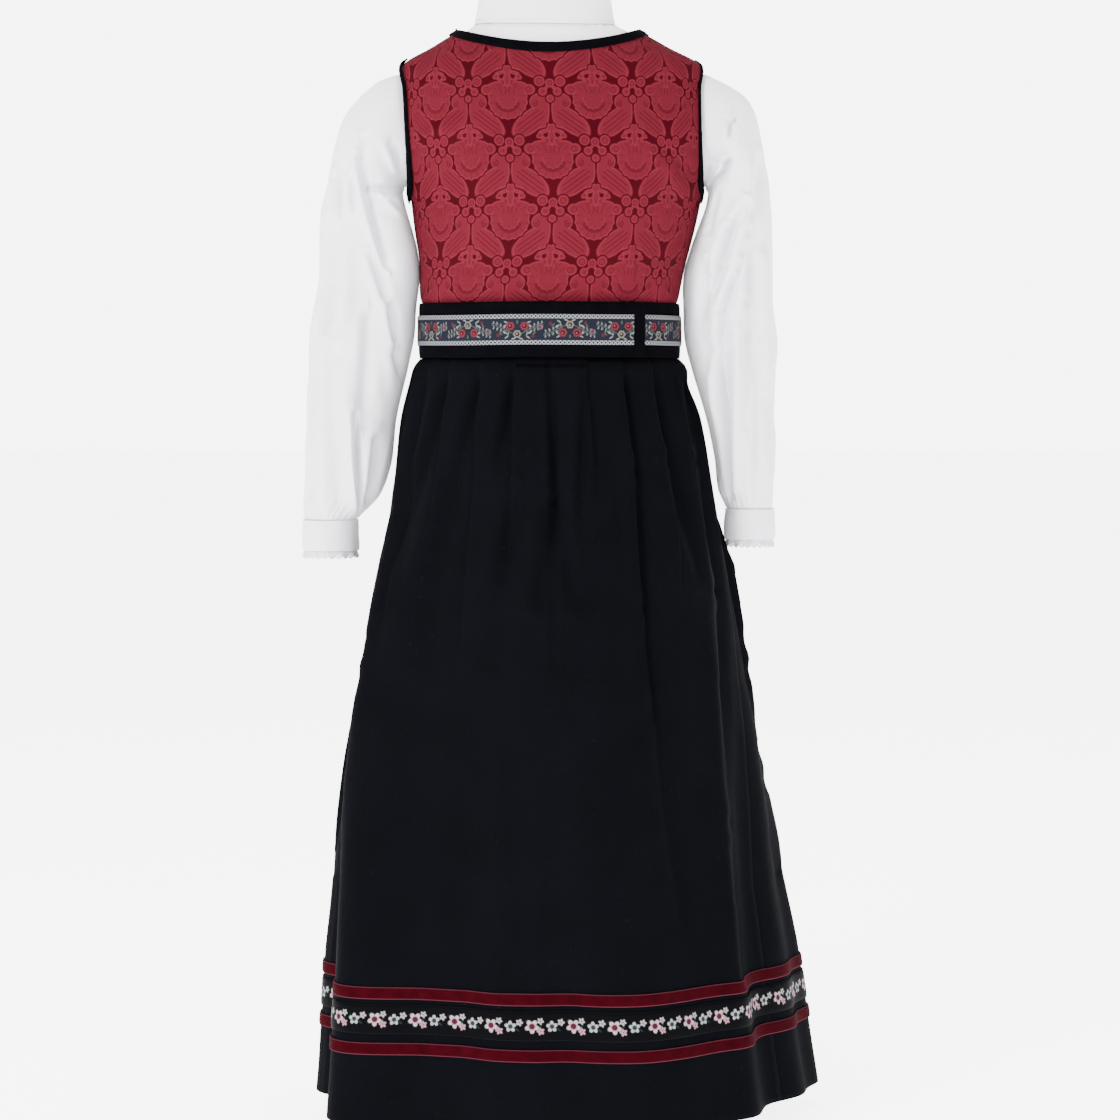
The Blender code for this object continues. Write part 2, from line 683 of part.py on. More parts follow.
def add_sleeve(name, sign, rows, finish):
    count = 2 * SHIRT_ROWS
    walls = []
    for shrink in (0, SHIRT_CLOTH):
        walls.append([armhole_ring(sign, shrink)] + [sleeve_ring(row, count, shrink) for row in rows])
    add_wall(name, *walls, finish, closed=True)


def oval(cuff, grow, z, count, wave=0):
    points = []
    for i in range(count):
        turn = math.tau * i / count
        ripple = wave * math.cos(turn * LACE_WAVES)
        points.append(Vector((
            cuff.x + (cuff.half_width + grow + ripple) * math.cos(turn),
            cuff.y + (cuff.depth + grow + ripple) * math.sin(turn),
            z,
        )))
    return points


def add_cuff(name, cuff, finish):
    low = cuff.top_z - cuff.height
    levels = [(0, cuff.top_z), (0.6, (cuff.top_z + low) / 2), (0.9, low)]
    count = 24
    walls = [[oval(cuff, grow + out, z, count) for grow, z in levels] for out in (0, -CUFF_CLOTH)]
    add_wall("shirt_cuff_" + name, *walls, finish, closed=True)
    count = LACE_WAVES * 3
    top = low - SEAM_GAP
    levels = [(0.2, top, 0), (0.6, top - LACE_DEPTH, LACE_WAVE_RISE)]
    walls = [[oval(cuff, grow + out, z, count, wave) for grow, z, wave in levels] for out in (0, -1.0)]
    add_wall("cuff_lace_" + name, *walls, finish, closed=True)


# Belt

def waist_point(angle, form_z, z, out):
    """A point level with z, out of the figure's section at form_z. The angle runs on round the figure
    from centre back, over the wearer's right."""
    angle = (angle + 180) % 360 - 180
    side = BACK if abs(angle) <= 90 else FRONT
    turn = angle if side == BACK else math.copysign(180 - abs(angle), angle)
    normal = form_normal(side, turn, form_z)
    normal.z = 0
    point = form_point(side, turn, form_z) + normal.normalized() * out
    point.z = z
    return point


def belt_point(angle, z, out):
    return waist_point(angle, BELT_TOP_Z, z, out)


def belt_out(angle):
    """How far the belt's inner face lies out of the figure, rising before it laps over itself."""
    before_lap = BELT_TAB_ANGLE - BELT_LAP + 360 - angle
    return BELT_CLEARANCE + BELT_LAP_RISE * eased(1 - before_lap / BELT_RISE_ANGLE)


def belt_angles():
    """From the hidden end, over the right side and round to the tab's end, with more at the corners."""
    start = BELT_TAB_ANGLE - BELT_LAP
    end = BELT_TAB_ANGLE + 360
    corner = BELT_CORNER * 0.55
    last = end - corner
    return [start + (last - start) * i / BELT_COLUMNS for i in range(BELT_COLUMNS + 1)] + [end - corner * 0.35, end]


def add_belt(finish, ribbon_finish):
    angles = belt_angles()
    trims = [0] * (len(angles) - 2) + [BELT_CORNER * 0.3, BELT_CORNER * 0.85]
    low_z = BELT_TOP_Z - BELT_HEIGHT
    walls = []
    for cloth in (BELT_CLOTH, 0):
        rows = []
        for sign, z in ((-1, BELT_TOP_Z), (1, low_z)):
            rows.append([belt_point(angle, z + sign * trim, belt_out(angle) + cloth)
                         for angle, trim in zip(angles, trims)])
        walls.append(rows)
    add_wall("belt_band", *walls, finish)
    middle = BELT_TOP_Z - BELT_HEIGHT / 2
    half = BELT_RIBBON_HEIGHT / 2
    ribbon_angles = [angle for angle in angles if angle <= angles[-1] - BELT_RIBBON_BORDER * 0.8]
    walls = []
    for cloth in (LAID_GAP + RIBBON, LAID_GAP):
        walls.append([[belt_point(angle, z, belt_out(angle) + BELT_CLOTH + cloth) for angle in ribbon_angles]
                      for z in (middle + half, middle - half)])
    add_wall("belt_ribbon", *walls, ribbon_finish)


# Skirt

def skirt_columns():
    """Columns of cloth round the skirt, from -180 to 180 degrees: waist, hem, sunk depth and run."""
    Column = namedtuple("Column", "waist hem depth run")
    halves = []
    for pleats in (LEFT_PLEATS, RIGHT_PLEATS):
        columns = []
        for k, (this, after) in enumerate(zip(pleats, pleats[1:])):
            for spot in BOX_COLUMNS if k == 0 else PLEAT_COLUMNS:
                fades = after if spot.at_waist > 0.5 else this
                waist = this.waist if k else 0
                columns.append(Column(
                    waist + (after.waist - waist) * spot.at_waist,
                    this.hem + (after.hem - this.hem) * spot.at_hem,
                    this.depth * spot.sunk, fades.run,
                ))
        halves.append(columns)
    left, right = halves
    front = Column(-180, -180, 0, 200)
    return [front] + list(reversed(left[1:])) + right


def fold_height(hem_angle, above_hem):
    """Height of the soft folds at a column, a distance above the hem."""
    total = 0
    for fold in FOLDS:
        away = abs((hem_angle - fold.middle + 180) % 360 - 180) / fold.half_width
        if away < 1:
            swell = (1 + math.cos(math.pi * away)) / 2
            total += fold.height * swell * eased(1 - (above_hem - FOLD_FULL) / fold.run)
    return total


FOLD_FULL = SKIRT[-1].z - SKIRT_HEM_Z
PLEAT_OPENS = 22
PLEAT_START = 0.45


def skirt_point(column, z, out):
    """A point of a column at a height. Below the last row of sizes the skirt only flares."""
    held = max(z, SKIRT[-1].z)
    flared = (SKIRT[-1].z - z) / (SKIRT[-1].z - SKIRT_HEM_Z) if z < SKIRT[-1].z else 0
    row = curve_through(SKIRT, held)
    fallen = (SKIRT[0].z - held) / (SKIRT[0].z - SKIRT[-1].z)
    angle = math.radians(column.waist + (column.hem - column.waist) * fallen)
    below = SKIRT[0].z - held
    depth = column.depth * (PLEAT_START + (1 - PLEAT_START) * eased(below / PLEAT_OPENS))
    depth *= 1 - eased((below - column.run * 0.35) / (column.run * 0.65))
    radius_in = row.back if math.cos(angle) > 0 else row.front
    point = Vector((row.half_width * math.sin(angle), -radius_in * math.cos(angle), 0))
    push = fold_height(column.hem, held - SKIRT_HEM_Z) - depth
    point += point.normalized() * push
    point *= 1 + HEM_FLARE * flared
    point += point.normalized() * out
    return point + Vector((row.shift + HEM_SHIFT * flared, 0, z))


def add_skirt(finish):
    columns = skirt_columns()
    half = len(columns) // 2
    quarter = half // 2
    split_left, split_right = quarter, half + quarter
    back = columns[split_left:split_right + 1]
    front = columns[split_right:] + columns[:split_left + 1]
    for name, part, side in (("skirt_back", back, BACK), ("skirt_front", front, FRONT)):
        walls = []
        for out in (0, -SKIRT_WOOL):
            grid = [[skirt_point(column, z, out) for column in part] for z in SKIRT_ROWS]
            for row in grid:
                for end, inward in ((0, 1), (-1, -2)):
                    row[end] += tangent(row[inward], row[end]) * SEAM_GAP / 2
            walls.append(grid)
        add_wall(name, *walls, finish, even=True)


def add_waistband(finish):
    count = 36
    walls = []
    for out in (0.6, 0.6 - SKIRT_WOOL):
        walls.append([[waist_point(360 * i / count, WAISTBAND_LOW_Z, z, out) for i in range(count)]
                      for z in (WAISTBAND_TOP_Z, WAISTBAND_LOW_Z)])
    add_wall("skirt_waistband", *walls, finish, closed=True)


def add_hem_bands(finishes_by_band):
    columns = skirt_columns()
    for band in HEM_BANDS:
        top = SKIRT_HEM_Z + band.above_hem
        walls = [[[skirt_point(column, z, out) for column in columns] for z in (top, top - band.height)]
                 for out in (LAID_GAP + band.cloth, LAID_GAP)]
        add_wall(band.name, *walls, finishes_by_band[band.name], closed=True, even=True)


def add_satin_strip(finish):
    """Narrow strip just below the belt at centre back, on the pleats."""
    columns = skirt_columns()
    middle = len(columns) // 2
    part = columns[middle - SATIN_COLUMNS:middle + SATIN_COLUMNS + 1]
    walls = [[[skirt_point(column, z, out) for column in part] for z in (SATIN_TOP_Z, SATIN_LOW_Z)]
             for out in (LAID_GAP + RIBBON, LAID_GAP)]
    add_wall("satin_strip", *walls, finish, even=True)


def main():
    for old in list(bpy.data.objects):
        bpy.data.objects.remove(old)
    finish = finishes()
    add_shirt_body(finish["cotton"])
    add_collar(finish["cotton"])
    add_placket(finish["cotton"])
    add_buttons(finish["button"])
    add_sleeve("shirt_sleeve_left", -1, LEFT_SLEEVE + (cuff_row(CUFFS["left"], -1),), finish["cotton"])
    add_sleeve("shirt_sleeve_right", 1, RIGHT_SLEEVE + (cuff_row(CUFFS["right"], 1),), finish["cotton"])
    for name, cuff in CUFFS.items():
        add_cuff(name, cuff, finish["cotton"])
    add_bodice(finish["damask"])
    add_neck_binding(finish["velvet"])
    add_armhole_bindings(finish["velvet"])
    add_hooks(finish["metal"])
    add_belt(finish["velvet"], finish["ribbon"])
    add_waistband(finish["wool"])
    add_skirt(finish["wool"])
    add_hem_bands({"hem_band_upper": finish["red"], "hem_band_lower": finish["red"],
                   "flower_ribbon": finish["ribbon"]})
    add_satin_strip(finish["velvet"])


main()
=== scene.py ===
"""Dresses the bunad costume: cloth with its folds, trims and fastenings, their finishes, and the stage.

Sizes are millimetres, as in the solids' source, and each sheet's mesh is made in Blender's metres.
The wearer faces +Y, so the back of the costume faces the camera.
"""
import math
from collections import namedtuple

import bmesh
import bpy
from mathutils import Matrix, Vector, noise


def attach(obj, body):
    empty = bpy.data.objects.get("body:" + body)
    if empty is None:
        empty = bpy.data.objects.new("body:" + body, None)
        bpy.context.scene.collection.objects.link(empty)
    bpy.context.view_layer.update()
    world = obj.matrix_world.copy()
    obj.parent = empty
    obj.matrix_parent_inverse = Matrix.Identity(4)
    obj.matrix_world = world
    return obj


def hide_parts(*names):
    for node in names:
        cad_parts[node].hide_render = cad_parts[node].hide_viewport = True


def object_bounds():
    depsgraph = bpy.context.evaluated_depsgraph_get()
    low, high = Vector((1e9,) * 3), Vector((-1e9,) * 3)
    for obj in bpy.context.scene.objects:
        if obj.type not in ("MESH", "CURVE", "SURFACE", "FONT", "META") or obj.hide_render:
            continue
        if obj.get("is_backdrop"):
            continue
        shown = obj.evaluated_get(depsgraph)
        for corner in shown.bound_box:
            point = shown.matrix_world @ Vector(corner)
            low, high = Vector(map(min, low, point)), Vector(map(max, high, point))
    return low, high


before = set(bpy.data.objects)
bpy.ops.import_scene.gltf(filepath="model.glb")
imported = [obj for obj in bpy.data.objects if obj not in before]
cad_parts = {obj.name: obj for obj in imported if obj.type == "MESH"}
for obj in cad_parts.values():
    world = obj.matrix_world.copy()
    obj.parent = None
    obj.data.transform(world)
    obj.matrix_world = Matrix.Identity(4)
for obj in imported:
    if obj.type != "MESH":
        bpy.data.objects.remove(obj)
CAD_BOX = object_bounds()

bl_info = {
    "name": "Bunad Costume",
    "version": (1, 0, 0),
    "blender": (4, 5, 0),
    "location": "View3D > Sidebar > Bunad",
    "description": "Cloth, trims, fastenings and stage for a child's bunad costume",
    "category": "Object",
}

MM = 0.001
BACK, FRONT = -1, 1
BODY = "root"
UV = "flat"


# Settings

class BunadColours(bpy.types.PropertyGroup):
    """Colours of the costume's cloths."""
    cotton: bpy.props.FloatVectorProperty(
        name="Cotton", description="White cloth of the shirt", default=(0.625, 0.617, 0.665), subtype="COLOR")
    damask_ground: bpy.props.FloatVectorProperty(
        name="Damask ground", description="Satin ground of the bodice", default=(0.0215, 0.0009, 0.0023), subtype="COLOR")
    damask_motif: bpy.props.FloatVectorProperty(
        name="Damask motif", description="Matt woven motifs of the bodice", default=(0.056, 0.0052, 0.0092),
        subtype="COLOR")
    velvet: bpy.props.FloatVectorProperty(
        name="Velvet", description="Black velvet of bindings and belt", default=(0.0006, 0.0006, 0.001),
        subtype="COLOR")
    wool: bpy.props.FloatVectorProperty(
        name="Wool", description="Black wool of the skirt", default=(0.001, 0.0011, 0.0016), subtype="COLOR")
    red_velvet: bpy.props.FloatVectorProperty(
        name="Red velvet", description="Narrow bands near the hem", default=(0.0138, 0.0003, 0.0013), subtype="COLOR")
    navy: bpy.props.FloatVectorProperty(
        name="Belt ribbon ground", description="Ground of the belt's ribbon", default=(0.0055, 0.0068, 0.0105),
        subtype="COLOR")
    pearl: bpy.props.FloatVectorProperty(
        name="Buttons", description="Pearl of the shirt's buttons", default=(0.78, 0.77, 0.74), subtype="COLOR")
    metal: bpy.props.FloatVectorProperty(
        name="Hooks", description="Dull metal of the bodice's hooks", default=(0.22, 0.21, 0.2), subtype="COLOR")
    floor: bpy.props.FloatVectorProperty(
        name="Floor", description="Pale floor and surroundings", default=(0.9, 0.9, 0.9), subtype="COLOR")


class BunadSizes(bpy.types.PropertyGroup):
    """Cloth thicknesses and the strength of folds."""
    shirt_cloth: bpy.props.FloatProperty(
        name="Shirt cloth", description="Thickness of the shirt", default=0.8 * MM, unit="LENGTH")
    cuff_cloth: bpy.props.FloatProperty(
        name="Cuff cloth", description="Thickness of the cuffs and the collar", default=1.8 * MM, unit="LENGTH")
    damask: bpy.props.FloatProperty(
        name="Damask", description="Thickness of the bodice", default=1.4 * MM, unit="LENGTH")
    velvet: bpy.props.FloatProperty(
        name="Velvet", description="Thickness of the velvet bindings", default=1.2 * MM, unit="LENGTH")
    wool: bpy.props.FloatProperty(
        name="Wool", description="Thickness of the skirt", default=1.6 * MM, unit="LENGTH")
    ribbon: bpy.props.FloatProperty(
        name="Ribbon", description="Thickness of the woven ribbons", default=0.8 * MM, unit="LENGTH")
    creases: bpy.props.FloatProperty(
        name="Creases", description="Strength of the shirt's creases", default=1.0, min=0, max=2)
    detail: bpy.props.FloatProperty(
        name="Detail", description="Share of the full number of mesh steps", default=1.0, min=0.2, max=1)
    camera_distance: bpy.props.FloatProperty(
        name="Camera distance", description="From the shoulders to the camera", default=2.6, unit="LENGTH")
    picture_width: bpy.props.FloatProperty(
        name="Picture width", description="Width seen at the shoulders", default=0.952, unit="LENGTH")


def colours():
    return bpy.context.scene.bunad_colours


def sizes():
    return bpy.context.scene.bunad_sizes


# Shader nodes

class Wire:
    """A shader socket. Arithmetic on it adds Math nodes."""

    def __init__(self, finish, socket):
        self.finish = finish
        self.socket = socket

    def math(self, operation, *others):
        values = dict(enumerate((self, *others)))
        return self.finish.node("ShaderNodeMath", {"operation": operation}, values)

    def __add__(self, other):
        return self.math("ADD", other)

    __radd__ = __add__

    def __sub__(self, other):
        return self.math("SUBTRACT", other)

    def __rsub__(self, other):
        return (self * -1) + other

    def __mul__(self, other):
        return self.math("MULTIPLY", other)

    __rmul__ = __mul__

    def __truediv__(self, other):
        return self.math("DIVIDE", other)

    def __mod__(self, other):
        return self.math("FLOORED_MODULO", other)

    def __pow__(self, other):
        return self.math("POWER", other)

    def __abs__(self):
        return self.math("ABSOLUTE")

    def __neg__(self):
        return self * -1

    def floor(self):
        return self.math("FLOOR")

    def sine(self):
        return self.math("SINE")

    def cosine(self):
        return self.math("COSINE")

    def lower(self, other):
        return self.math("MINIMUM", other)

    def higher(self, other):
        return self.math("MAXIMUM", other)

    def angle_from(self, other):
        return self.math("ARCTAN2", other)

    def inside(self, limit=0.0, soft=0.25):
        """1 where the value is below the limit and 0 above it, over a soft step."""
        return self.finish.stepped(self, limit - soft, limit + soft, 1, 0)


def length_of(x, y):
    return (x * x + y * y) ** 0.5


class Nodes:
    """A node tree, and the one way in which nodes are added to it."""

    def __init__(self, owner):
        owner.use_nodes = True
        self.nodes = owner.node_tree.nodes
        self.links = owner.node_tree.links

    def set(self, target, value):
        if isinstance(value, Wire):
            self.links.new(value.socket, target)
        elif hasattr(target.default_value, "__len__") and len(target.default_value) == 4 and len(value) == 3:
            target.default_value = (*value, 1)
        else:
            target.default_value = value

    def node(self, kind, settings=None, values=None, output=0):
        """A node of a type, its settings first and then the values or links of its sockets."""
        made = self.nodes.new(kind)
        for name, value in (settings or {}).items():
            if name == "stops":
                self.set_stops(made.color_ramp, value)
            else:
                setattr(made, name, value)
        for key, value in (values or {}).items():
            self.set(made.inputs[key], value)
        return Wire(self, made.outputs[output])

    def set_stops(self, ramp, stops):
        while len(ramp.elements) < len(stops):
            ramp.elements.new(0.5)
        for element, (place, colour) in zip(ramp.elements, stops):
            element.position = place
            element.color = (*colour, 1)

    def split(self, vector):
        parts = self.node("ShaderNodeSeparateXYZ", values={0: vector})
        outputs = parts.socket.node.outputs
        return [Wire(self, outputs[i]) for i in range(3)]

    def stepped(self, value, start, end, low, high):
        """Runs softly from low to high while the value goes from start to end."""
        values = {"Value": value, "From Min": start, "From Max": end, "To Min": low, "To Max": high}
        return self.node("ShaderNodeMapRange", {"interpolation_type": "SMOOTHSTEP"}, values)


class Finish(Nodes):
    """One material. Its constants are set on the shader, and its varying values come by wires."""

    def __init__(self, name, **constants):
        self.material = bpy.data.materials.new(name)
        super().__init__(self.material)
        self.shader = self.nodes["Principled BSDF"]
        for socket, value in constants.items():
            self.shader.inputs[socket.replace("_", " ")].default_value = value

    def place(self):
        """Object coordinates."""
        return self.node("ShaderNodeTexCoord", output="Object")

    def flat(self):
        """Millimetres along and down the flat cloth."""
        uv = self.node("ShaderNodeUVMap", {"uv_map": UV})
        along, down, _ = self.split(uv)
        return along * 1000, down * 1000

    def noise(self, vector, scale, detail=2.0, roughness=0.5):
        values = {"Vector": vector, "Scale": scale, "Detail": detail, "Roughness": roughness}
        return self.node("ShaderNodeTexNoise", {"noise_dimensions": "3D"}, values)

    def mix(self, share, first, second, blend="MIX"):
        made = self.node("ShaderNodeMix", {"data_type": "RGBA", "blend_type": blend})
        node = made.socket.node
        for index, value in ((0, share), (6, first), (7, second)):
            self.set(node.inputs[index], value)
        return Wire(self, node.outputs[2])

    def bump(self, height, strength, distance, below=None):
        values = {"Height": height, "Strength": strength, "Distance": distance}
        if below:
            values["Normal"] = below
        return self.node("ShaderNodeBump", None, values)

    def finish(self, **wires):
        for socket, value in wires.items():
            self.set(self.shader.inputs[socket.replace("_", " ")], value)
        return self.material


def weave(along, down, pitch):
    """Plain weave: over and under threads across and down the cloth, from 0 to 1."""
    turn = math.tau / pitch
    warp = (along * turn).sine()
    weft = (down * turn).sine()
    return warp * weft * 0.5 + 0.5


def cotton_finish():
    finish = Finish("white_cotton", Roughness=0.75, Sheen_Weight=0.25, Sheen_Roughness=0.5,
                    Subsurface_Weight=0.12, Subsurface_Radius=(0.004, 0.004, 0.004), Subsurface_Scale=1.0)
    along, down = finish.flat()
    cloth = colours().cotton
    threads = weave(along, down, 0.55)
    stretched = finish.node("ShaderNodeCombineXYZ", values={0: along * 0.25, 1: down * 2.2})
    slubs = finish.noise(stretched, 1.0, 3)
    cloud = finish.noise(finish.place(), 14.0, 3)
    tone = threads * 0.05 + slubs * 0.06 + cloud * 0.08
    shaded = [channel * 0.88 for channel in cloth]
    bright = [min(channel * 1.06, 1) for channel in cloth]
    colour = finish.mix(tone * 5, shaded, bright)
    height = threads * 0.5 + slubs * 0.5
    normal = finish.bump(height, 0.28, 0.0004)
    return finish.finish(Base_Color=colour, Roughness=slubs * 0.15 + 0.68, Normal=normal)


def velvet_finish(name, colour, sheen, tint, edge=None):
    """Cut pile: deep colour with a soft grazing glow and a slight brushed unevenness."""
    finish = Finish(name, Roughness=0.9, Sheen_Weight=sheen, Sheen_Roughness=0.35, Sheen_Tint=(*tint, 1),
                    Specular_IOR_Level=0.01)
    place = finish.place()
    pile = finish.noise(place, 2600.0, 1)
    brushed = finish.noise(place, 90.0, 3)
    lighter = [channel * 1.9 + 0.0005 for channel in colour]
    shade = finish.mix(pile * 0.5 + brushed * 0.9 - 0.4, [channel * 0.7 for channel in colour], lighter)
    if edge:
        _, down = finish.flat()
        rim = (1 - (down - 0.7).inside(0, 0.45)) * (down - edge[1] + 0.7).inside(0, 0.45)
        shade = finish.mix(rim, edge[0], shade)
    normal = finish.bump(pile, 0.5, 0.0005, finish.bump(brushed, 0.2, 0.001))
    return finish.finish(Base_Color=shade, Roughness=brushed * 0.15 + 0.8, Normal=normal)


def wool_finish():
    finish = Finish("black_wool", Roughness=0.85, Sheen_Weight=0.003, Sheen_Roughness=0.4,
                    Sheen_Tint=(0.8, 0.82, 1, 1), Specular_IOR_Level=0.008)
    along, down = finish.flat()
    place = finish.place()
    threads = weave(along, down, 1.0)
    fuzz = finish.noise(place, 1500.0, 2)
    cloud = finish.noise(place, 22.0, 3)
    lint = finish.noise(place, 420.0, 2, 0.7)
    wool = colours().wool
    colour = finish.mix(cloud * 0.6 + fuzz * 0.5 - 0.1, [c * 0.75 for c in wool], [c * 1.9 for c in wool])
    specks = 1 - lint.inside(0.735, 0.02)
    colour = finish.mix(specks * 0.5, colour, (0.012, 0.012, 0.014))
    normal = finish.bump(threads * 0.6 + fuzz * 0.4, 0.35, 0.0006)
    return finish.finish(Base_Color=colour, Roughness=cloud * 0.1 + 0.78, Normal=normal)


def ellipse(x, y, centre, half, tilt=0.0):
    """Signed distance, about true near the edge, to an ellipse. Wires or numbers in millimetres."""
    turn = math.radians(tilt)
    dx, dy = x - centre[0], y - centre[1]
    if tilt:
        dx, dy = dx * math.cos(turn) + dy * math.sin(turn), dy * math.cos(turn) - dx * math.sin(turn)
    reach = length_of(dx / half[0], dy / half[1])
    return (reach - 1) * min(half)


def petals(x, y, centre, radius, count, waist=0.45, turn=0.0):
    """Signed distance to a flower of round petals."""
    dx, dy = x - centre[0], y - centre[1]
    around = (dy.angle_from(dx) + turn) * (count / 2)
    reach = abs(around.cosine()) * (1 - waist) + waist
    return length_of(dx, dy) - reach * radius


def damask_finish():
    """Red damask: half-drop rows of hanging palmettes, pairs of birds, rosettes and curls."""
    width, height = 71.0, 49.5
    finish = Finish("red_damask", Roughness=0.55, Sheen_Weight=0.005, Sheen_Roughness=0.5,
                    Sheen_Tint=(1, 0.3, 0.35, 1), Specular_IOR_Level=0.008)
    along, down = finish.flat()
    wobble = finish.noise(finish.place(), 110.0, 2) - 0.5
    row = (down / height + 0.5).floor()
    up = row * height - down
    shifted = along + (row % 2) * (width / 2)
    side = abs((shifted + width / 2) % width - width / 2)
    away = width / 2 - side

    def bird(x, y):
        """A bird's body, tail and curled neck, with its top at the right height."""
        body = ellipse(x, y, (16.6, 25.2), (19.0, 9.2), -37)
        chest = ellipse(x, y, (6.6, 32.5), (5.9, 15.5), 4)
        head = ellipse(x, y, (9.4, 41.6), (7.8, 7.4))
        whole = body.lower(chest).lower(head)
        curl = abs(length_of(x - 13.0, y - 40.6) - 2.4) - 0.5
        curl = curl.higher(x * 0.5 + y - 49).lower(length_of(x - 13.0, y - 40.4) - 0.9)
        plume = (1.7 - abs((x * 0.8 + y * 1.1) % 4.6 - 2.3)).higher(body + 2.6)
        return whole, curl.lower(plume)

    reach = length_of(side, up + 5.6)
    opening = side.angle_from(-up - 5.6)
    notch = abs((opening * 9).sine()) * 0.9
    bell = (reach + notch - 17.6).higher(up - 6.5)
    shoulder = ellipse(side, up, (10.5, 5.0), (8.5, 4.6), -12)
    roll = ellipse(side, up, (18.4, 2.6), (5.0, 4.6))
    stem = ellipse(side, up, (0, 12.0), (3.4, 8.0)).lower(ellipse(side, up, (4.6, 8.2), (2.8, 5.4), 30))
    crown = petals(side, up, (0, 19.6), 4.4, 5, 0.72, 0.3)
    crown = crown.lower(ellipse(side, up, (5.4, 17.2), (5.6, 1.9), -14))
    curl = ellipse(side, up, (9.6, 13.6), (3.4, 2.3), -30)
    curl = curl.lower(ellipse(side, up, (6.0, 10.6), (5.4, 1.8), 36))
    palmette = bell.lower(shoulder).lower(roll).lower(stem).lower(crown).lower(curl)
    lobe_reach = reach + abs((opening * 6).sine()) * 1.1
    lobe = lobe_reach - 8.6
    crescent = (reach - 11.2).higher(8.6 - lobe_reach).higher(up + 8.5)
    veins = (abs((opening * 7).sine()) - 0.14).higher(abs(reach - 14.2) - 2.6)
    veins = veins.lower((abs((opening * 4).sine()) - 0.1).higher(abs(reach - 5.2) - 2.6))
    line = (abs(side - 1.2 - abs(up - 2.0) * 0.34) - 0.5).higher(abs(up - 7.0) - 8.0)
    line = line.lower((abs(side - 4.8 - abs(up - 1.0) * 0.6) - 0.4).higher(abs(up - 3.5) - 4.5))
    line = line.lower((abs(length_of(side - 9.8, up - 13.6) - 1.2) - 0.35).higher(up * -1 + 12.6))
    roll_ring = abs(length_of(side - 17.6, up - 2.4) - 2.1) - 0.35

    rosette = length_of(away, up - 8.1) - 3.8
    rosette = rosette.lower(length_of(away - 8.6, up - 9.6) - 4.5)
    rosette = rosette.lower(length_of(away - 6.0, up - 0.9) - 3.7)
    rosette = rosette.lower(length_of(away, up + 5.0) - 3.3).lower(length_of(away - 2.9, up - 4.2) - 1.5)
    rosette_ring = abs(length_of(away, up - 8.1) - 1.9) - 0.35
    rosette_ring = rosette_ring.lower(abs(length_of(away - 8.4, up - 9.4) - 2.4) - 0.3)
    rosette_ring = rosette_ring.lower(length_of(away - 5.6, up - 0.9) - 0.8)

    upper_bird, upper_lines = bird(side, up)
    lower_bird, lower_lines = bird(away, up + height)
    birds, bird_lines = upper_bird.lower(lower_bird), upper_lines.lower(lower_lines)
    shown = (birds + wobble).inside(0, 0.35)
    rim = (abs(birds + wobble + 0.9) - 0.4).inside(0, 0.3)
    engraved = bird_lines.inside(0, 0.25) * 0.55
    for shape, lines in ((palmette, veins.lower(line).lower(roll_ring)), (rosette, rosette_ring)):
        ragged = shape + wobble
        clear = 1 - (ragged - 1.0).inside(0, 0.3)
        over = ragged.inside(0, 0.3)
        shown = (shown * clear).higher(over)
        rim = (rim * clear).higher((abs(ragged + 0.8) - 0.4).inside(0, 0.3))
        engraved = (engraved * clear).higher(lines.inside(0, 0.25) * over * 0.45)
    engraved = engraved.higher(crescent.inside(0, 0.5) * 0.5)
    rim = rim.higher((abs(lobe) - 0.45).inside(0, 0.3) * (up + 4.0).inside(0, 0.4))

    threads = weave(along, down, 0.6)
    lines = ((along * 0.7 + down) * (math.tau / 0.9)).sine() * 0.5 + 0.5
    ground, woven = colours().damask_ground, colours().damask_motif
    cloud = finish.noise(finish.place(), 26.0, 3)
    base = finish.mix(cloud * 0.7 + lines * 0.25, [c * 0.7 for c in ground], [c * 1.3 for c in ground])
    figure = finish.mix(threads * 0.5 + cloud * 0.5, [c * 0.8 for c in woven], [c * 1.16 for c in woven])
    raised = shown * (1 - engraved)
    colour = finish.mix(raised, base, figure)
    colour = finish.mix(rim * shown * 0.6, colour, [c * 1.35 + 0.002 for c in woven])
    relief = raised * 0.6 + rim * 0.3 + threads * shown * 0.2 + lines * (1 - shown) * 0.1
    normal = finish.bump(relief, 0.35, 0.0006)
    return finish.finish(Base_Color=colour, Roughness=raised * 0.25 + 0.45, Normal=normal)


def paint(finish, colour, layers):
    """Lay each colour over the last where its mask is."""
    for mask, over in layers:
        colour = finish.mix(mask, colour, over)
    return colour


BELT_RIBBON_SHADE = 0.55


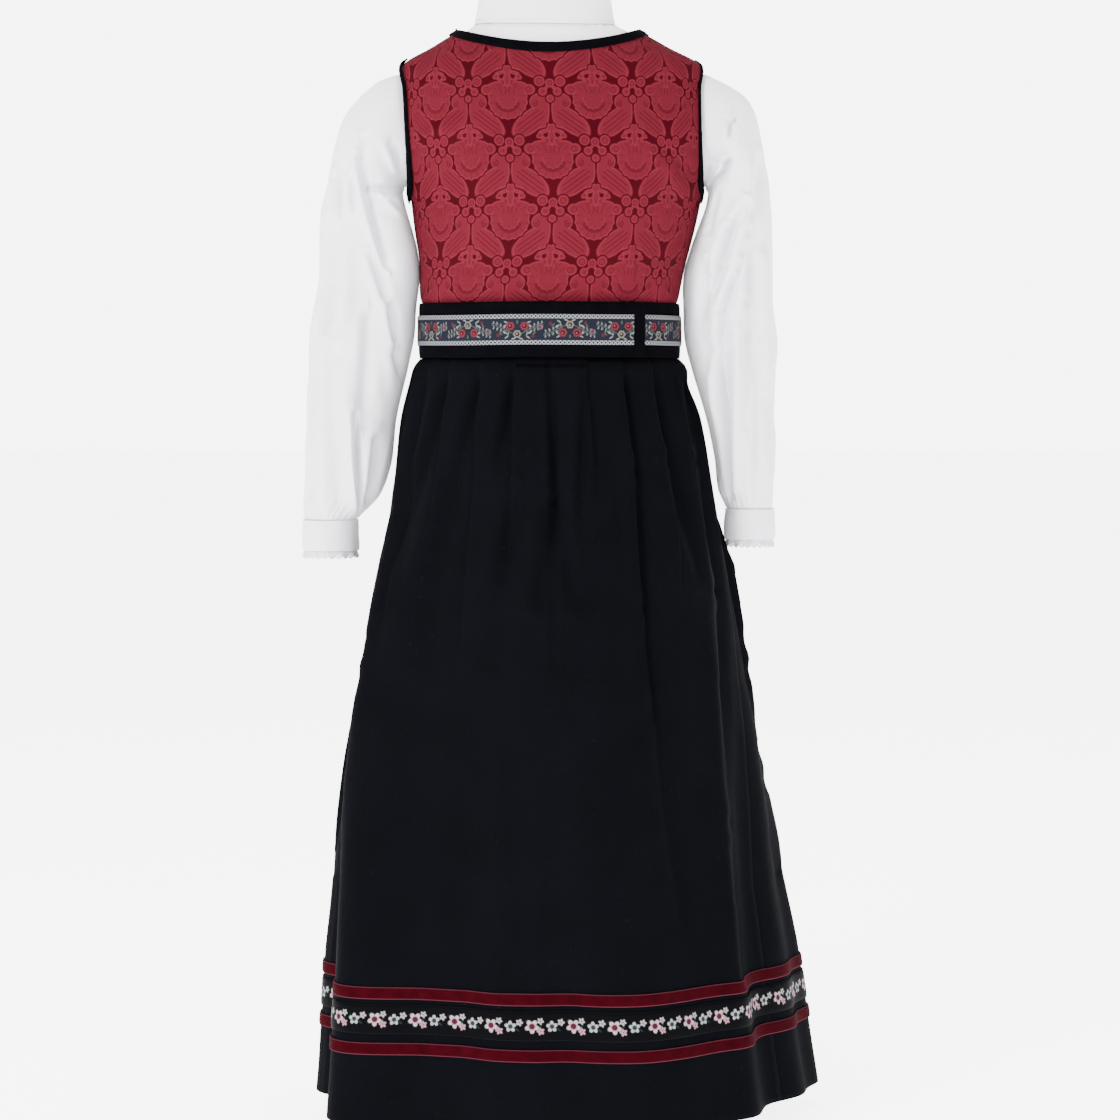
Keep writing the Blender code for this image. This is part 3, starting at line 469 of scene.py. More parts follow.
def belt_ribbon_finish():
    """Slate ribbon with a leafy vine, roses in threes, small flowers and cross-stitched borders."""
    cell, middle = 42.0, 12.5
    finish = Finish("belt_ribbon", Roughness=0.75, Specular_IOR_Level=0.02)
    along, down = finish.flat()
    number = (along / cell).floor()
    x = along % cell - cell / 2
    flip = 1 - (number % 2) * 2
    y = (middle - down) * flip
    from_edge = middle - abs(down - middle)
    tatter = finish.noise(finish.place(), 900.0, 2) - 0.5

    step = 3.3
    slant = abs((along / step) % 1 - 0.5) * 2
    cross = (abs(abs(from_edge - 1.8) - slant * 1.5) - 0.36).inside(0, 0.16)
    line = (abs(from_edge - 0.25) - 0.2).inside(0, 0.12)
    line = line.higher((abs(from_edge - 3.4) - 0.16).inside(0, 0.12))
    border = cross.higher(line * 0.45) * (from_edge - 3.6).inside(0, 0.12)

    wave = (x * (math.tau / cell)).cosine() * 3.6
    vine = abs(y + wave) - 0.28
    sprig_x = x % 3.0 - 1.5
    over = y + wave
    sprigs = (abs(abs(over) - 0.6 - abs(sprig_x + over * 0.45) * 1.5) - 0.36).higher(abs(over) - 3.0)
    sprigs = sprigs.higher(6.2 - abs(x)) + tatter * 0.9
    leaf_tips = ellipse(sprig_x, abs(over), (0.2, 2.4), (0.55, 1.1), 20).higher(6.8 - abs(x)) + tatter * 0.8
    white_leaves = ellipse(abs(x), y, (9.6, 3.0), (2.0, 0.7), -38)
    white_leaves = white_leaves.lower(ellipse(abs(x), y, (10.0, -2.6), (2.1, 0.7), 30))
    white_leaves = white_leaves.lower(ellipse(abs(x), y, (9.2, 5.8), (1.7, 0.6), 24))
    white_leaves = white_leaves.lower(ellipse(abs(x), y, (3.0, -7.6), (1.7, 0.6), -18))
    white_leaves = white_leaves.lower(ellipse(abs(x), y, (8.6, -6.4), (1.8, 0.6), -34)) + tatter * 0.5
    green = ellipse(abs(x), y, (7.4, -1.2), (1.9, 0.8), 24).lower(ellipse(x, y, (0, 5.9), (0.8, 1.6)))
    green = green.lower(ellipse(abs(x), y, (13.4, -3.4), (1.9, 0.7), 50)) + tatter * 0.6
    first = petals(x, y, (-15.4, -4.6), 1.9, 5, 0.5)
    second = petals(x, y, (18.0, 1.6), 2.6, 5, 0.5, 0.6)
    third = petals(x, y, (12.6, -5.4), 1.6, 5, 0.5, 0.3)

    layers = [
        (border, (0.36, 0.36, 0.385)),
        (vine.inside(0, 0.2) * 0.6, (0.1, 0.105, 0.105)),
        (sprigs.inside(0, 0.25) * 0.85, (0.12, 0.128, 0.12)),
        (leaf_tips.inside(0, 0.25) * 0.8, (0.16, 0.165, 0.155)),
        (green.inside(0, 0.25), (0.04, 0.056, 0.042)),
        (white_leaves.inside(0, 0.25) * 0.9, (0.18, 0.185, 0.175)),
        (first.inside(0, 0.25), (0.075, 0.01, 0.02)),
        (third.inside(0, 0.25), (0.07, 0.01, 0.02)),
        (second.inside(0, 0.25), (0.06, 0.022, 0.034)),
        ((abs(second + 0.5) - 0.22).inside(0, 0.15), (0.15, 0.1, 0.12)),
        ((length_of(x - 18.0, y - 1.6) - 0.6).inside(0, 0.2), (0.09, 0.01, 0.02)),
    ]
    roses = (
        ((-5.7, 2.7), (0.062, 0.0028, 0.008), (0.17, 0.05, 0.06), 3.8),
        ((5.7, 2.7), (0.062, 0.0028, 0.008), (0.17, 0.05, 0.06), 3.8),
        ((0, -3.9), (0.02, 0.017, 0.019), (0.2, 0.17, 0.135), 3.4),
    )
    for centre, deep, light, radius in roses:
        edge = petals(x, y, centre, radius, 6, 0.82) + tatter * 0.5
        spot = length_of(x - centre[0], y - centre[1])
        ring = (abs(spot - radius * 0.62) - 0.28).inside(0, 0.2)
        rim = (abs(edge + 0.4) - 0.3).inside(0, 0.2)
        heart = (length_of(x - centre[0] + 0.3, y - centre[1] - 0.3) - 0.75).inside(0, 0.2)
        layers.append((edge.inside(0, 0.25), deep))
        layers.append((ring * 0.7, light))
        layers.append((rim * (0.9 if centre[0] == 0 else 0.35), light))
        layers.append((heart, light))
    ground = colours().navy
    rib = (along * (math.tau / 0.8)).sine() * 0.5 + 0.5
    base = finish.mix(rib * 0.7, [c * 0.7 for c in ground], [c * 1.35 for c in ground])
    layers = [(mask, [channel * BELT_RIBBON_SHADE for channel in over]) for mask, over in layers]
    colour = paint(finish, base, layers)
    weft = (down * (math.tau / 0.5)).sine() * 0.5 + 0.5
    colour = finish.mix(weft * 0.25, colour, (0.006, 0.006, 0.009))
    normal = finish.bump(rib * 0.5 + weft * 0.5 + border * 0.6, 0.35, 0.0005)
    return finish.finish(Base_Color=colour, Roughness=weft * 0.1 + 0.62, Normal=normal)


def flower_ribbon_finish():
    """Black ribbon with pale flowers of two sizes, small buds and dark green leaves."""
    cell, middle = 33.0, 12.0
    finish = Finish("flower_ribbon", Roughness=0.8, Specular_IOR_Level=0.01)
    along, down = finish.flat()
    x = along % cell
    y = middle - down
    tatter = finish.noise(finish.place(), 800.0, 2) - 0.5
    flowers = (
        ((6.2, 0.0), 5.9, 0.3, (0.25, 0.185, 0.205), (0.035, 0.005, 0.011), 2.3),
        ((22.1, -0.2), 4.8, 0.9, (0.19, 0.195, 0.2), (0.012, 0.015, 0.016), 1.8),
        ((13.0, 4.2), 2.9, 0.2, (0.19, 0.18, 0.19), (0.06, 0.02, 0.025), 0.6),
        ((13.0, -3.9), 3.3, 0.7, (0.2, 0.115, 0.135), (0.13, 0.02, 0.035), 0.6),
        ((29.3, 3.1), 3.1, 1.3, (0.19, 0.17, 0.185), (0.11, 0.015, 0.025), 0.6),
    )
    leaves = ellipse(x, y, (12.8, 0.2), (1.6, 0.6), 20).lower(ellipse(x, y, (18.4, 1.8), (1.8, 0.6), 50))
    leaves = leaves.lower(ellipse(x, y, (27.4, -2.6), (1.9, 0.7), -40))
    leaves = leaves.lower(ellipse(x, y, (2.2, 4.6), (1.7, 0.6), 30))
    leaves = leaves.lower(ellipse(x, y, (0.9, -2.6), (2.0, 0.7), -24)) + tatter * 0.6
    layers = [(leaves.inside(0, 0.25), (0.005, 0.012, 0.0105))]
    for centre, radius, turn, colour, heart, heart_radius in flowers:
        edge = petals(x, y, centre, radius, 5, 0.55, turn) + tatter * 0.8
        spot = length_of(x - centre[0], y - centre[1])
        layers.append((edge.inside(0, 0.3), [c * 0.5 for c in colour]))
        layers.append((edge.inside(-0.6, 0.3), colour))
        layers.append(((spot - heart_radius * 1.35).inside(0, 0.3) * 0.6, [c * 0.4 for c in colour]))
        layers.append(((spot - heart_radius).inside(0, 0.25), heart))
    rib = (along * (math.tau / 0.7)).sine() * 0.5 + 0.5
    base = finish.mix(rib * 0.6, (0.0007, 0.0007, 0.001), (0.0018, 0.0018, 0.0023))
    colour = paint(finish, base, layers)
    selvage = (abs(y) - 11.3).inside(0, 0.3)
    colour = finish.mix(1 - selvage, colour, (0.003, 0.003, 0.004))
    weft = (down * (math.tau / 0.5)).sine() * 0.5 + 0.5
    colour = finish.mix(weft * 0.2, colour, (0.003, 0.003, 0.004))
    normal = finish.bump(rib * 0.5 + weft * 0.5, 0.3, 0.0005)
    return finish.finish(Base_Color=colour, Roughness=weft * 0.1 + 0.55, Normal=normal)


def lace_finish():
    """Cotton lace: eyelets in rows and a denser scalloped edge."""
    finish = Finish("cotton_lace", Roughness=0.8, Sheen_Weight=0.2)
    along, down = finish.flat()
    cloth = colours().cotton
    pitch = 3.1
    x = along % pitch - pitch / 2
    row_two = (along + pitch / 2) % pitch - pitch / 2
    holes = (length_of(x, down - 2.0) - 0.62).lower(length_of(row_two, down - 3.9) - 0.55)
    holes = holes.lower(length_of(x, down - 5.6) - 0.42)
    threads = weave(along, down, 0.7)
    colour = finish.mix(threads * 0.6, [c * 0.82 for c in cloth], cloth)
    normal = finish.bump(threads * 0.4 + (abs(holes - 0.3) - 0.25).inside(0, 0.2) * 0.6, 0.5, 0.0005)
    return finish.finish(Base_Color=colour, Alpha=1 - holes.inside(0, 0.12), Normal=normal)


def pearl_finish():
    finish = Finish("pearl_button", Roughness=0.25, Coat_Weight=0.3)
    layers = finish.noise(finish.place(), 700.0, 3)
    pearl = colours().pearl
    colour = finish.mix(layers, [c * 0.86 for c in pearl], [min(c * 1.1, 1) for c in pearl])
    return finish.finish(Base_Color=colour, Roughness=layers * 0.15 + 0.18)


def metal_finish():
    finish = Finish("dull_metal", Metallic=1.0, Roughness=0.4)
    grain = finish.noise(finish.place(), 900.0, 3)
    metal = colours().metal
    colour = finish.mix(grain, [c * 0.7 for c in metal], [c * 1.3 for c in metal])
    normal = finish.bump(grain, 0.2, 0.0003)
    return finish.finish(Base_Color=colour, Roughness=grain * 0.25 + 0.3, Normal=normal)


def thread_finish(name, colour):
    finish = Finish(name, Roughness=0.8, Sheen_Weight=0.2)
    twist = finish.noise(finish.place(), 1800.0, 2)
    shade = finish.mix(twist, [c * 0.7 for c in colour], [min(c * 1.25 + 0.002, 1) for c in colour])
    return finish.finish(Base_Color=shade, Normal=finish.bump(twist, 0.4, 0.0003))


MAKERS = {
    "cotton": cotton_finish,
    "damask": damask_finish,
    "wool": wool_finish,
    "velvet": lambda: velvet_finish("black_velvet", colours().velvet, 0.004, (0.6, 0.62, 0.72)),
    "red": lambda: velvet_finish("red_velvet", colours().red_velvet, 0.02, (1, 0.35, 0.45), ((0.045, 0.01, 0.016), 10.0)),
    "belt_ribbon": belt_ribbon_finish,
    "flower_ribbon": flower_ribbon_finish,
    "lace": lace_finish,
    "pearl": pearl_finish,
    "metal": metal_finish,
    "dark_thread": lambda: thread_finish("dark_thread", (0.003, 0.003, 0.003)),
    "red_thread": lambda: thread_finish("red_thread", (0.04, 0.002, 0.005)),
    "white_thread": lambda: thread_finish("white_thread", (0.6, 0.6, 0.63)),
}
MADE = {}


def finish_called(name):
    """A finish, made the first time it is asked for."""
    if name not in MADE:
        MADE[name] = MAKERS[name]()
    return MADE[name]


# Cloth sheets

def steps(count):
    return max(2, round(count * sizes().detail))


def finish_piece(name, mesh, finish, nodes=(), smooth=True):
    """A mesh as an object that rides on the costume, at the origin, in metres."""
    data = bpy.data.meshes.new(name)
    mesh.to_mesh(data)
    mesh.free()
    data.materials.append(finish_called(finish))
    if smooth:
        data.shade_smooth()
    piece = bpy.data.objects.new(name, data)
    bpy.context.scene.collection.objects.link(piece)
    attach(piece, BODY)
    if nodes:
        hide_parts(*nodes)
    return piece


def cloth_sheet(name, columns, rows, place, lay, finish, nodes=(), cloth=0.001, wrap=False, flip=False):
    """A fine sheet. place gives a point from shares across and down, and lay its flat place, in mm."""
    mesh = bmesh.new()
    layer = mesh.loops.layers.uv.new(UV)
    bmesh.ops.create_grid(mesh, x_segments=steps(columns), y_segments=steps(rows), size=0.5)
    shares = {vert: (vert.co.x + 0.5, 0.5 - vert.co.y) for vert in mesh.verts}
    points = {vert: place(*share) for vert, share in shares.items()}
    for face in mesh.faces:
        for loop in face.loops:
            flat = lay(*shares[loop.vert], points[loop.vert])
            loop[layer].uv = (flat[0] * MM, flat[1] * MM)
    for vert, point in points.items():
        vert.co = point * MM
    if wrap:
        bmesh.ops.remove_doubles(mesh, verts=mesh.verts, dist=1e-6)
    if flip:
        bmesh.ops.reverse_faces(mesh, faces=mesh.faces)
    piece = finish_piece(name, mesh, finish, nodes)
    wall = piece.modifiers.new("Cloth", "SOLIDIFY")
    wall.thickness = cloth
    wall.offset = -1
    return piece


Crease = namedtuple("Crease", "x1 z1 x2 z2 width depth")
RIDGE, RIDGE_AWAY, RIDGE_WIDTH = 0.55, 1.9, 1.3


def creased(x, z, creases):
    """Sum of soft troughs and ridges along lines in the plane of the back."""
    total = 0
    for crease in creases:
        run_x, run_z = crease.x2 - crease.x1, crease.z2 - crease.z1
        length = run_x * run_x + run_z * run_z
        share = ((x - crease.x1) * run_x + (z - crease.z1) * run_z) / length
        if not -0.25 < share < 1.25:
            continue
        held = min(max(share, 0), 1)
        away_x, away_z = x - crease.x1 - run_x * held, z - crease.z1 - run_z * held
        away = math.hypot(away_x, away_z) / crease.width
        if away > 4.5:
            continue
        beside = math.copysign(away, away_x * run_z - away_z * run_x)
        ends = 1 - 0.5 * abs(2 * held - 1) ** 3
        bank = RIDGE * math.exp(-((beside - RIDGE_AWAY) / RIDGE_WIDTH) ** 2)
        total += crease.depth * (math.exp(-away * away) - bank) * ends
    return total


def eased(share):
    share = min(max(share, 0), 1)
    return share * share * (3 - 2 * share)


def curve_through(table, z):
    """The table's row at height z, read from a smooth curve through its rows, which run downwards."""
    z = max(min(z, table[0].z), table[-1].z)
    i = next(i for i in range(len(table) - 1) if z >= table[i + 1].z)
    high, low = table[i], table[i + 1]
    step = low.z - high.z
    share = (z - high.z) / step
    before, after = table[max(i - 1, 0)], table[min(i + 2, len(table) - 1)]
    values = []
    for a, b, c, d in zip(before, high, low, after):
        slope_b = (c - a) / (low.z - before.z) * step
        slope_c = (d - b) / (after.z - high.z) * step
        values.append(
            b * (1 + 2 * share) * (1 - share) ** 2 + slope_b * share * (1 - share) ** 2
            + c * share ** 2 * (3 - 2 * share) - slope_c * share ** 2 * (1 - share)
        )
    return type(high)(*values)


# The figure that the costume is cut to

Form = namedtuple("Form", "z half_width back front shift square")
FORM = (
    Form(10, 60, 47, 45, -4, 2), Form(0, 77, 50, 47, -0.5, 2), Form(-14, 101, 54, 52, 1, 2),
    Form(-28, 125, 59, 58, 2.5, 2.2), Form(-50, 129, 67, 66, 3, 2.7), Form(-80, 131, 77, 75, 4, 2.9),
    Form(-110, 129, 84, 83, 5.5, 2.7), Form(-136, 123.5, 87, 87, 6, 2.4), Form(-166, 118.5, 87, 87, 5, 2.3),
    Form(-196, 112.6, 85, 84, 3, 2.2), Form(-215, 110.3, 84, 83, 1, 2.2), Form(-224, 109, 83, 82, 0.5, 2.2),
    Form(-231, 106.5, 81, 80, 0.5, 2.2), Form(-240, 105, 80, 79, 0.5, 2.2), Form(-285, 105, 80, 79, 0.5, 2.2),
    Form(-340, 109, 83, 83, 1, 2.2),
)
ROWS_BY_HEIGHT = {}


def form_row(z):
    key = round(z * 4)
    if key not in ROWS_BY_HEIGHT:
        ROWS_BY_HEIGHT[key] = curve_through(FORM, key / 4)
    return ROWS_BY_HEIGHT[key]


def form_point(side, angle, z):
    """A point on the figure. The angle is in degrees from the middle of the back or of the front."""
    row = curve_through(FORM, z)
    depth = row.back if side == BACK else row.front
    turn = math.radians(angle)
    across = math.copysign(abs(math.sin(turn)) ** (2 / row.square), angle)
    along = math.copysign(abs(math.cos(turn)) ** (2 / row.square), math.cos(turn))
    return Vector((row.shift + row.half_width * across, side * depth * along, z))


def form_normal(side, angle, z):
    across = form_point(side, angle + 0.5, z) - form_point(side, angle - 0.5, z)
    down = form_point(side, angle, z - 1) - form_point(side, angle, z + 1)
    return (across.cross(down) * side).normalized()


def laid_point(side, angle, z, out):
    """A point that lies a distance out of the figure, or inside it when that is negative."""
    return form_point(side, angle, z) + form_normal(side, angle, z) * out


def angle_across(x, z):
    """The angle at which the figure is x wide of its middle, at height z."""
    row = curve_through(FORM, z)
    return math.degrees(math.asin(min(1, x / row.half_width) ** (row.square / 2)))


Cut = namedtuple("Cut", "neck_z centre_z shoulder_z underarm_z hole_cut neck_part inset")
BODICE_CUT = {BACK: Cut(0, -15.5, -28, -136, 26, 0.6, 0), FRONT: Cut(0, -62, -28, -136, 31, 0.6, 0)}
SHIRT_CUT = {BACK: Cut(9, 3, -33, -131, 22, 0.45, 4.7), FRONT: Cut(9, -13, -33, -131, 26, 0.45, 4.7)}
BODICE_HEM_Z = -246
SHIRT_HEM_Z = -325
NECK_ROUND = 1.6
HOLE_REACH = 2
BINDING = 8
PATH_STEPS = 40


def top_edge(cut, across):
    """Distance from the middle and height where a column starts, on the neckline or the shoulder line."""
    share = abs(across)
    if share < cut.neck_part:
        turn = math.pi / 2 * share / cut.neck_part
        z = cut.neck_z + (cut.centre_z - cut.neck_z) * math.cos(turn) ** NECK_ROUND
        return curve_through(FORM, cut.neck_z).half_width * math.sin(turn), z
    along = (share - cut.neck_part) / (1 - cut.neck_part)
    z = cut.neck_z + along * (cut.shoulder_z - cut.neck_z)
    return curve_through(FORM, z).half_width, z


def neckline_at(cut, z):
    """The column that starts on the neckline at height z, and its angle there."""
    if z <= cut.centre_z:
        return 0, 0
    fall = max(cut.neck_z - z, 0) / (cut.neck_z - cut.centre_z)
    turn = math.acos(fall ** (1 / NECK_ROUND))
    across = cut.neck_part * turn / (math.pi / 2)
    return across, angle_across(curve_through(FORM, cut.neck_z).half_width * math.sin(turn), z)


def armhole_angle(cut, z):
    share = min(max((cut.shoulder_z - z) / (cut.shoulder_z - cut.underarm_z), 0), 1)
    return 90 - cut.hole_cut * math.sqrt(4 * share * (1 - share))


def column_path(side, cut, across, rim):
    """Spots down a column from its top edge to the underarm, with the length to each."""
    share = abs(across)
    lowest = cut.underarm_z - rim * eased((1 - share) / 0.03)
    _, top = top_edge(cut, across)
    path, length, before = [], 0, None
    for step in range(PATH_STEPS + 1):
        fallen = (step / PATH_STEPS) ** 2
        z = top + (lowest - top) * fallen
        edge_z = top + (cut.underarm_z - top) * fallen
        near, near_angle = neckline_at(cut, z)
        far = cut.neck_part + (1 - cut.neck_part) * min((cut.neck_z - z) / (cut.neck_z - cut.shoulder_z), 1)
        part = (share - near) / (far - near) if far > near else 1
        cut_in = (90 - armhole_angle(cut, edge_z)) * max(part, 0) ** HOLE_REACH
        spot = (math.copysign(near_angle + (90 - near_angle) * part - cut_in, across), z)
        point = form_point(side, *spot)
        length += (point - before).length if before else 0
        path.append((length, spot))
        before = point
    return path


def spot_along(path, length):
    """The spot at a length down a column's path."""
    for (near, high), (far, low) in zip(path, path[1:]):
        if length <= far:
            share = (length - near) / (far - near) if far > near else 0
            return tuple(a + (b - a) * share for a, b in zip(high, low))
    return path[-1][1]


class Panel:
    """A cut piece of the upper body. Shares run across it and down it, and its columns are kept."""

    def __init__(self, side, cut, hem_z, rim):
        self.side = side
        self.cut = cut
        self.hem_z = hem_z
        self.rim = rim
        self.paths = {}

    def path(self, across):
        key = round(across, 5)
        if key not in self.paths:
            path = column_path(self.side, self.cut, across, self.rim)
            length, (_, z) = path[-1]
            for low in (-160, -185, -215, self.hem_z):
                length += z - low
                z = low
                path.append((length, (across * 90, z)))
            self.paths[key] = path
        return self.paths[key]

    def spot(self, across, down):
        path = self.path(across)
        return spot_along(path, path[-1][0] * down)

    def point(self, across, down, out):
        angle, z = self.spot(across, down)
        placed = laid_point(self.side, angle, z, out - self.cut.inset)
        if placed.y * self.side < 0.1:
            placed.y = self.side * 0.1
        return placed


BODICE = {side: Panel(side, BODICE_CUT[side], BODICE_HEM_Z, BINDING) for side in (BACK, FRONT)}
SHIRT = {side: Panel(side, SHIRT_CUT[side], SHIRT_HEM_Z, 0) for side in (BACK, FRONT)}


def flat_across(point):
    """Millimetres round the figure from its middle, about true, for a cloth laid on it."""
    row = form_row(point.z)
    radius = row.half_width * 1.02
    away = point.x - row.shift
    return radius * math.asin(max(-1, min(1, away / radius)))


# Shirt

SHIRT_TUCKS = (
    Crease(-14, 8, -13.5, -9, 1.1, -0.9), Crease(-6, 8, -5.6, -8, 1.0, -0.8), Crease(9.4, 8, 9.6, -8, 1.1, -0.9),
    Crease(-34, 7, -40, -8, 1.6, -0.7), Crease(30, 7, 35, -9, 1.5, -0.7), Crease(44, 6, 54, -8, 1.6, -0.7),
    Crease(-49, 6, -60, -8, 1.7, -0.7), Crease(21, 8, 22, -6, 1.2, 0.5), Crease(-24, 8, -26, -7, 1.2, 0.5),
)


def shirt_relief(point):
    """Gathers below the collar and soft hollows further down."""
    fade = eased(1 - (8 - point.z) / 60)
    gathers = math.sin(point.x * 0.93 + noise.noise(point * 0.04) * 4) * 0.35 * fade
    soft = noise.noise(Vector((point.x * 0.025, point.y * 0.025, point.z * 0.012))) * 0.9 * (1 - fade)
    return (gathers + soft + creased(point.x, point.z, SHIRT_TUCKS)) * sizes().creases


def make_shirt_body():
    for side, name in ((BACK, "shirt_back"), (FRONT, "shirt_front")):
        panel = SHIRT[side]

        def place(u, v):
            across = u * 2 - 1
            plain = panel.point(across, v, 0)
            return panel.point(across, v, shirt_relief(plain))

        def lay(u, v, point):
            return flat_across(point), -point.z

        piece = cloth_sheet(name + "_cloth", 120, 64, place, lay, "cotton", [name], sizes().shirt_cloth,
                            flip=side == FRONT)


COLLAR_HEIGHT = 29
COLLAR_TOP_SHARE = 0.91
COLLAR_LEAN = 2
COLLAR_FOOT = 0.6
COLLAR_SPLIT = 0.006


def neckline_point(side, share):
    cut = SHIRT_CUT[side]
    x, z = top_edge(cut, cut.neck_part * min(abs(share), 0.9999))
    return laid_point(side, math.copysign(angle_across(x, z), share), z, -cut.inset)


def collar_point(share, rise, out):
    """A point on the collar. The share runs round it from centre front, over the wearer's left."""
    turned = share * 4 - 2
    if abs(turned) <= 1:
        side, part = BACK, turned
    else:
        side, part = FRONT, math.copysign(2 - abs(turned), turned)
        part = math.copysign(max(abs(part), COLLAR_SPLIT), turned)
    foot = neckline_point(side, part)
    middle = Vector((curve_through(FORM, SHIRT_CUT[BACK].neck_z).shift, 0, 0))
    flat = Vector((foot.x, foot.y, 0)) - middle
    flat = flat * (1 + (COLLAR_TOP_SHARE - 1) * rise) + flat.normalized() * out
    return middle + flat + Vector((0, COLLAR_LEAN * rise, foot.z + COLLAR_FOOT + COLLAR_HEIGHT * rise))


def make_collar():
    def place(u, v):
        rise = 1 - v
        soft = noise.noise(Vector((u * 9, v * 1.5, 3))) * 0.7 + 0.35 * math.sin(math.pi * rise)
        seam = -0.35 * math.exp(-((rise - 0.1) / 0.035) ** 2)
        return collar_point(u, rise, (soft + seam) * sizes().creases)

    def lay(u, v, point):
        return u * 330, v * COLLAR_HEIGHT

    piece = cloth_sheet("shirt_collar_cloth", 220, 16, place, lay, "cotton", ["shirt_collar"], sizes().cuff_cloth)
    mesh = bmesh.new()
    for rise in (0.93, 0.1):
        row = [collar_point(i / 160, rise, 0.25) for i in range(161)]
        sew(mesh, row, 2.0, 0.9, 0.45, 0.3)
    finish_piece("collar_stitches", mesh, "white_thread")


def sew(mesh, points, length, gap, width, height, up=None):
    """Stitches as small rounded bars along a row of points, in millimetres."""
    ride, left, on, start = 0, length, True, points[0]
    for here, there in zip(points, points[1:]):
        run = (there - here).length
        used = 0
        while run - used > left:
            used += left
            spot = here.lerp(there, used / run)
            if on:
                add_bar(mesh, start, spot, width, height, up)
            start, on = spot, not on
            left = length if on else gap
        left -= run - used


def add_bar(mesh, start, end, width, height, up=None):
    along = (end - start).normalized()
    outward = up or Vector((start.x + end.x, start.y + end.y, 0)).normalized()
    across = along.cross(outward).normalized()
    outward = across.cross(along)
    size = Vector(((end - start).length, width, height)) * MM
    matrix = axes_matrix(along, across, outward, (start + end) / 2 * MM)
    made = bmesh.ops.create_cube(mesh, size=1)
    bmesh.ops.scale(mesh, vec=size, verts=made["verts"])
    bmesh.ops.transform(mesh, matrix=matrix, verts=made["verts"])


def axes_matrix(x_axis, y_axis, z_axis, place):
    matrix = Matrix((x_axis, y_axis, z_axis)).transposed().to_4x4()
    matrix.translation = place
    return matrix


PLACKET_WIDTH = 15
BUTTON_RADIUS, BUTTON_HEIGHT, BUTTON_DISH = 4.0, 1.7, 0.45
BUTTON_EDGE, BUTTON_RIM = 0.55, 0.7


def make_placket():
    cut = SHIRT_CUT[FRONT]
    top, low = cut.centre_z - 3, -62

    def place(u, v):
        z = top + (low - top) * v
        half = angle_across(PLACKET_WIDTH / 2, z)
        fold = 0.35 * (1 - abs(u * 2 - 1) ** 6)
        return laid_point(FRONT, half * (u * 2 - 1), z, 1.0 + 0.2 + fold - cut.inset)

    def lay(u, v, point):
        return u * PLACKET_WIDTH, v * (top - low)

    piece = cloth_sheet("shirt_placket_cloth", 24, 40, place, lay, "cotton", ["shirt_placket"],
                        0.9 * MM, flip=True)


def make_buttons():
    cut = SHIRT_CUT[FRONT]
    spots = []
    for number, z in enumerate((-28, -46), 1):
        normal = form_normal(FRONT, 0, z)
        spots.append((f"shirt_button_{number}", laid_point(FRONT, 0, z, 1.9 - cut.inset), normal))
    near, far = collar_point(1 - COLLAR_SPLIT / 4, 0.5, 0.3), collar_point(0.95, 0.5, 0.3)
    rise = collar_point(0.975, 1, 0) - collar_point(0.975, 0, 0)
    normal = (near - far).cross(rise).normalized()
    if normal.y < 0:
        normal = -normal
    spots.append(("collar_button", near.lerp(far, 0.5), normal))
    for name, point, normal in spots:
        add_button(name, point, normal)


def add_button(name, point, normal):
    """A round button with a rounded edge and a sunk face, sewn on with a cross of thread."""
    mesh = bmesh.new()
    radius = BUTTON_RADIUS * MM
    bmesh.ops.create_cone(mesh, cap_ends=True, segments=28, radius1=radius, radius2=radius,
                          depth=BUTTON_HEIGHT * MM)
    edges = [edge for edge in mesh.edges if any(len(face.verts) > 4 for face in edge.link_faces)]
    bmesh.ops.bevel(mesh, geom=edges, offset=BUTTON_EDGE * MM, segments=3, profile=0.5, affect="EDGES",
                    material=-1)
    top = max(mesh.faces, key=lambda face: face.calc_center_median().z)
    bmesh.ops.inset_region(mesh, faces=[top], thickness=BUTTON_RIM * MM, depth=-BUTTON_DISH * MM)
    turn = Vector((0, 0, 1)).rotation_difference(normal).to_matrix().to_4x4()
    bmesh.ops.transform(mesh, matrix=turn, verts=mesh.verts)
    bmesh.ops.translate(mesh, vec=(point + normal * BUTTON_HEIGHT / 2) * MM, verts=mesh.verts)
    piece = finish_piece(name + "_pearl", mesh, "pearl", [name])
    mesh = bmesh.new()
    across = normal.cross(Vector((0, 0, 1))).normalized()
    up = across.cross(normal).normalized()
    middle = point + normal * (BUTTON_HEIGHT - BUTTON_DISH + 0.2)
    for slant in (across + up, across - up):
        add_bar(mesh, middle + slant * 0.9, middle - slant * 0.9, 0.5, 0.5, normal)
    piece = finish_piece(name + "_thread", mesh, "white_thread")


# Sleeves

FOLD_DEPTH = 2.4
Ring = namedtuple("Ring", "outer_x outer_z inner_x inner_z depth forward")
LEFT_SLEEVE = (
    Ring(-129, -36.5, -122.5, -130, 42, 0), Ring(-146, -43, -124.5, -131.5, 46, 0),
    Ring(-161.5, -56, -125, -137, 48, 0), Ring(-172, -71, -124.5, -143, 48, -1),
    Ring(-179.5, -93, -123, -152, 47, -1), Ring(-186, -122, -120, -166, 46, 0),
    Ring(-191, -150, -116.5, -184, 45, 1), Ring(-194, -185, -113.5, -206, 43, 3),
    Ring(-197, -220, -113.5, -229, 43, 4), Ring(-203, -252, -114, -254, 43, 5),
    Ring(-204.5, -285, -120, -284, 42, 6), Ring(-207, -325, -129, -322, 41, 7),
    Ring(-208.5, -365, -134, -362, 37, 8), Ring(-209, -393, -144, -390, 31, 9),
    Ring(-209, -408, -160, -407, 26, 10), Ring(-208.3, -411.7, -164.7, -411.7, 24, 11),
)
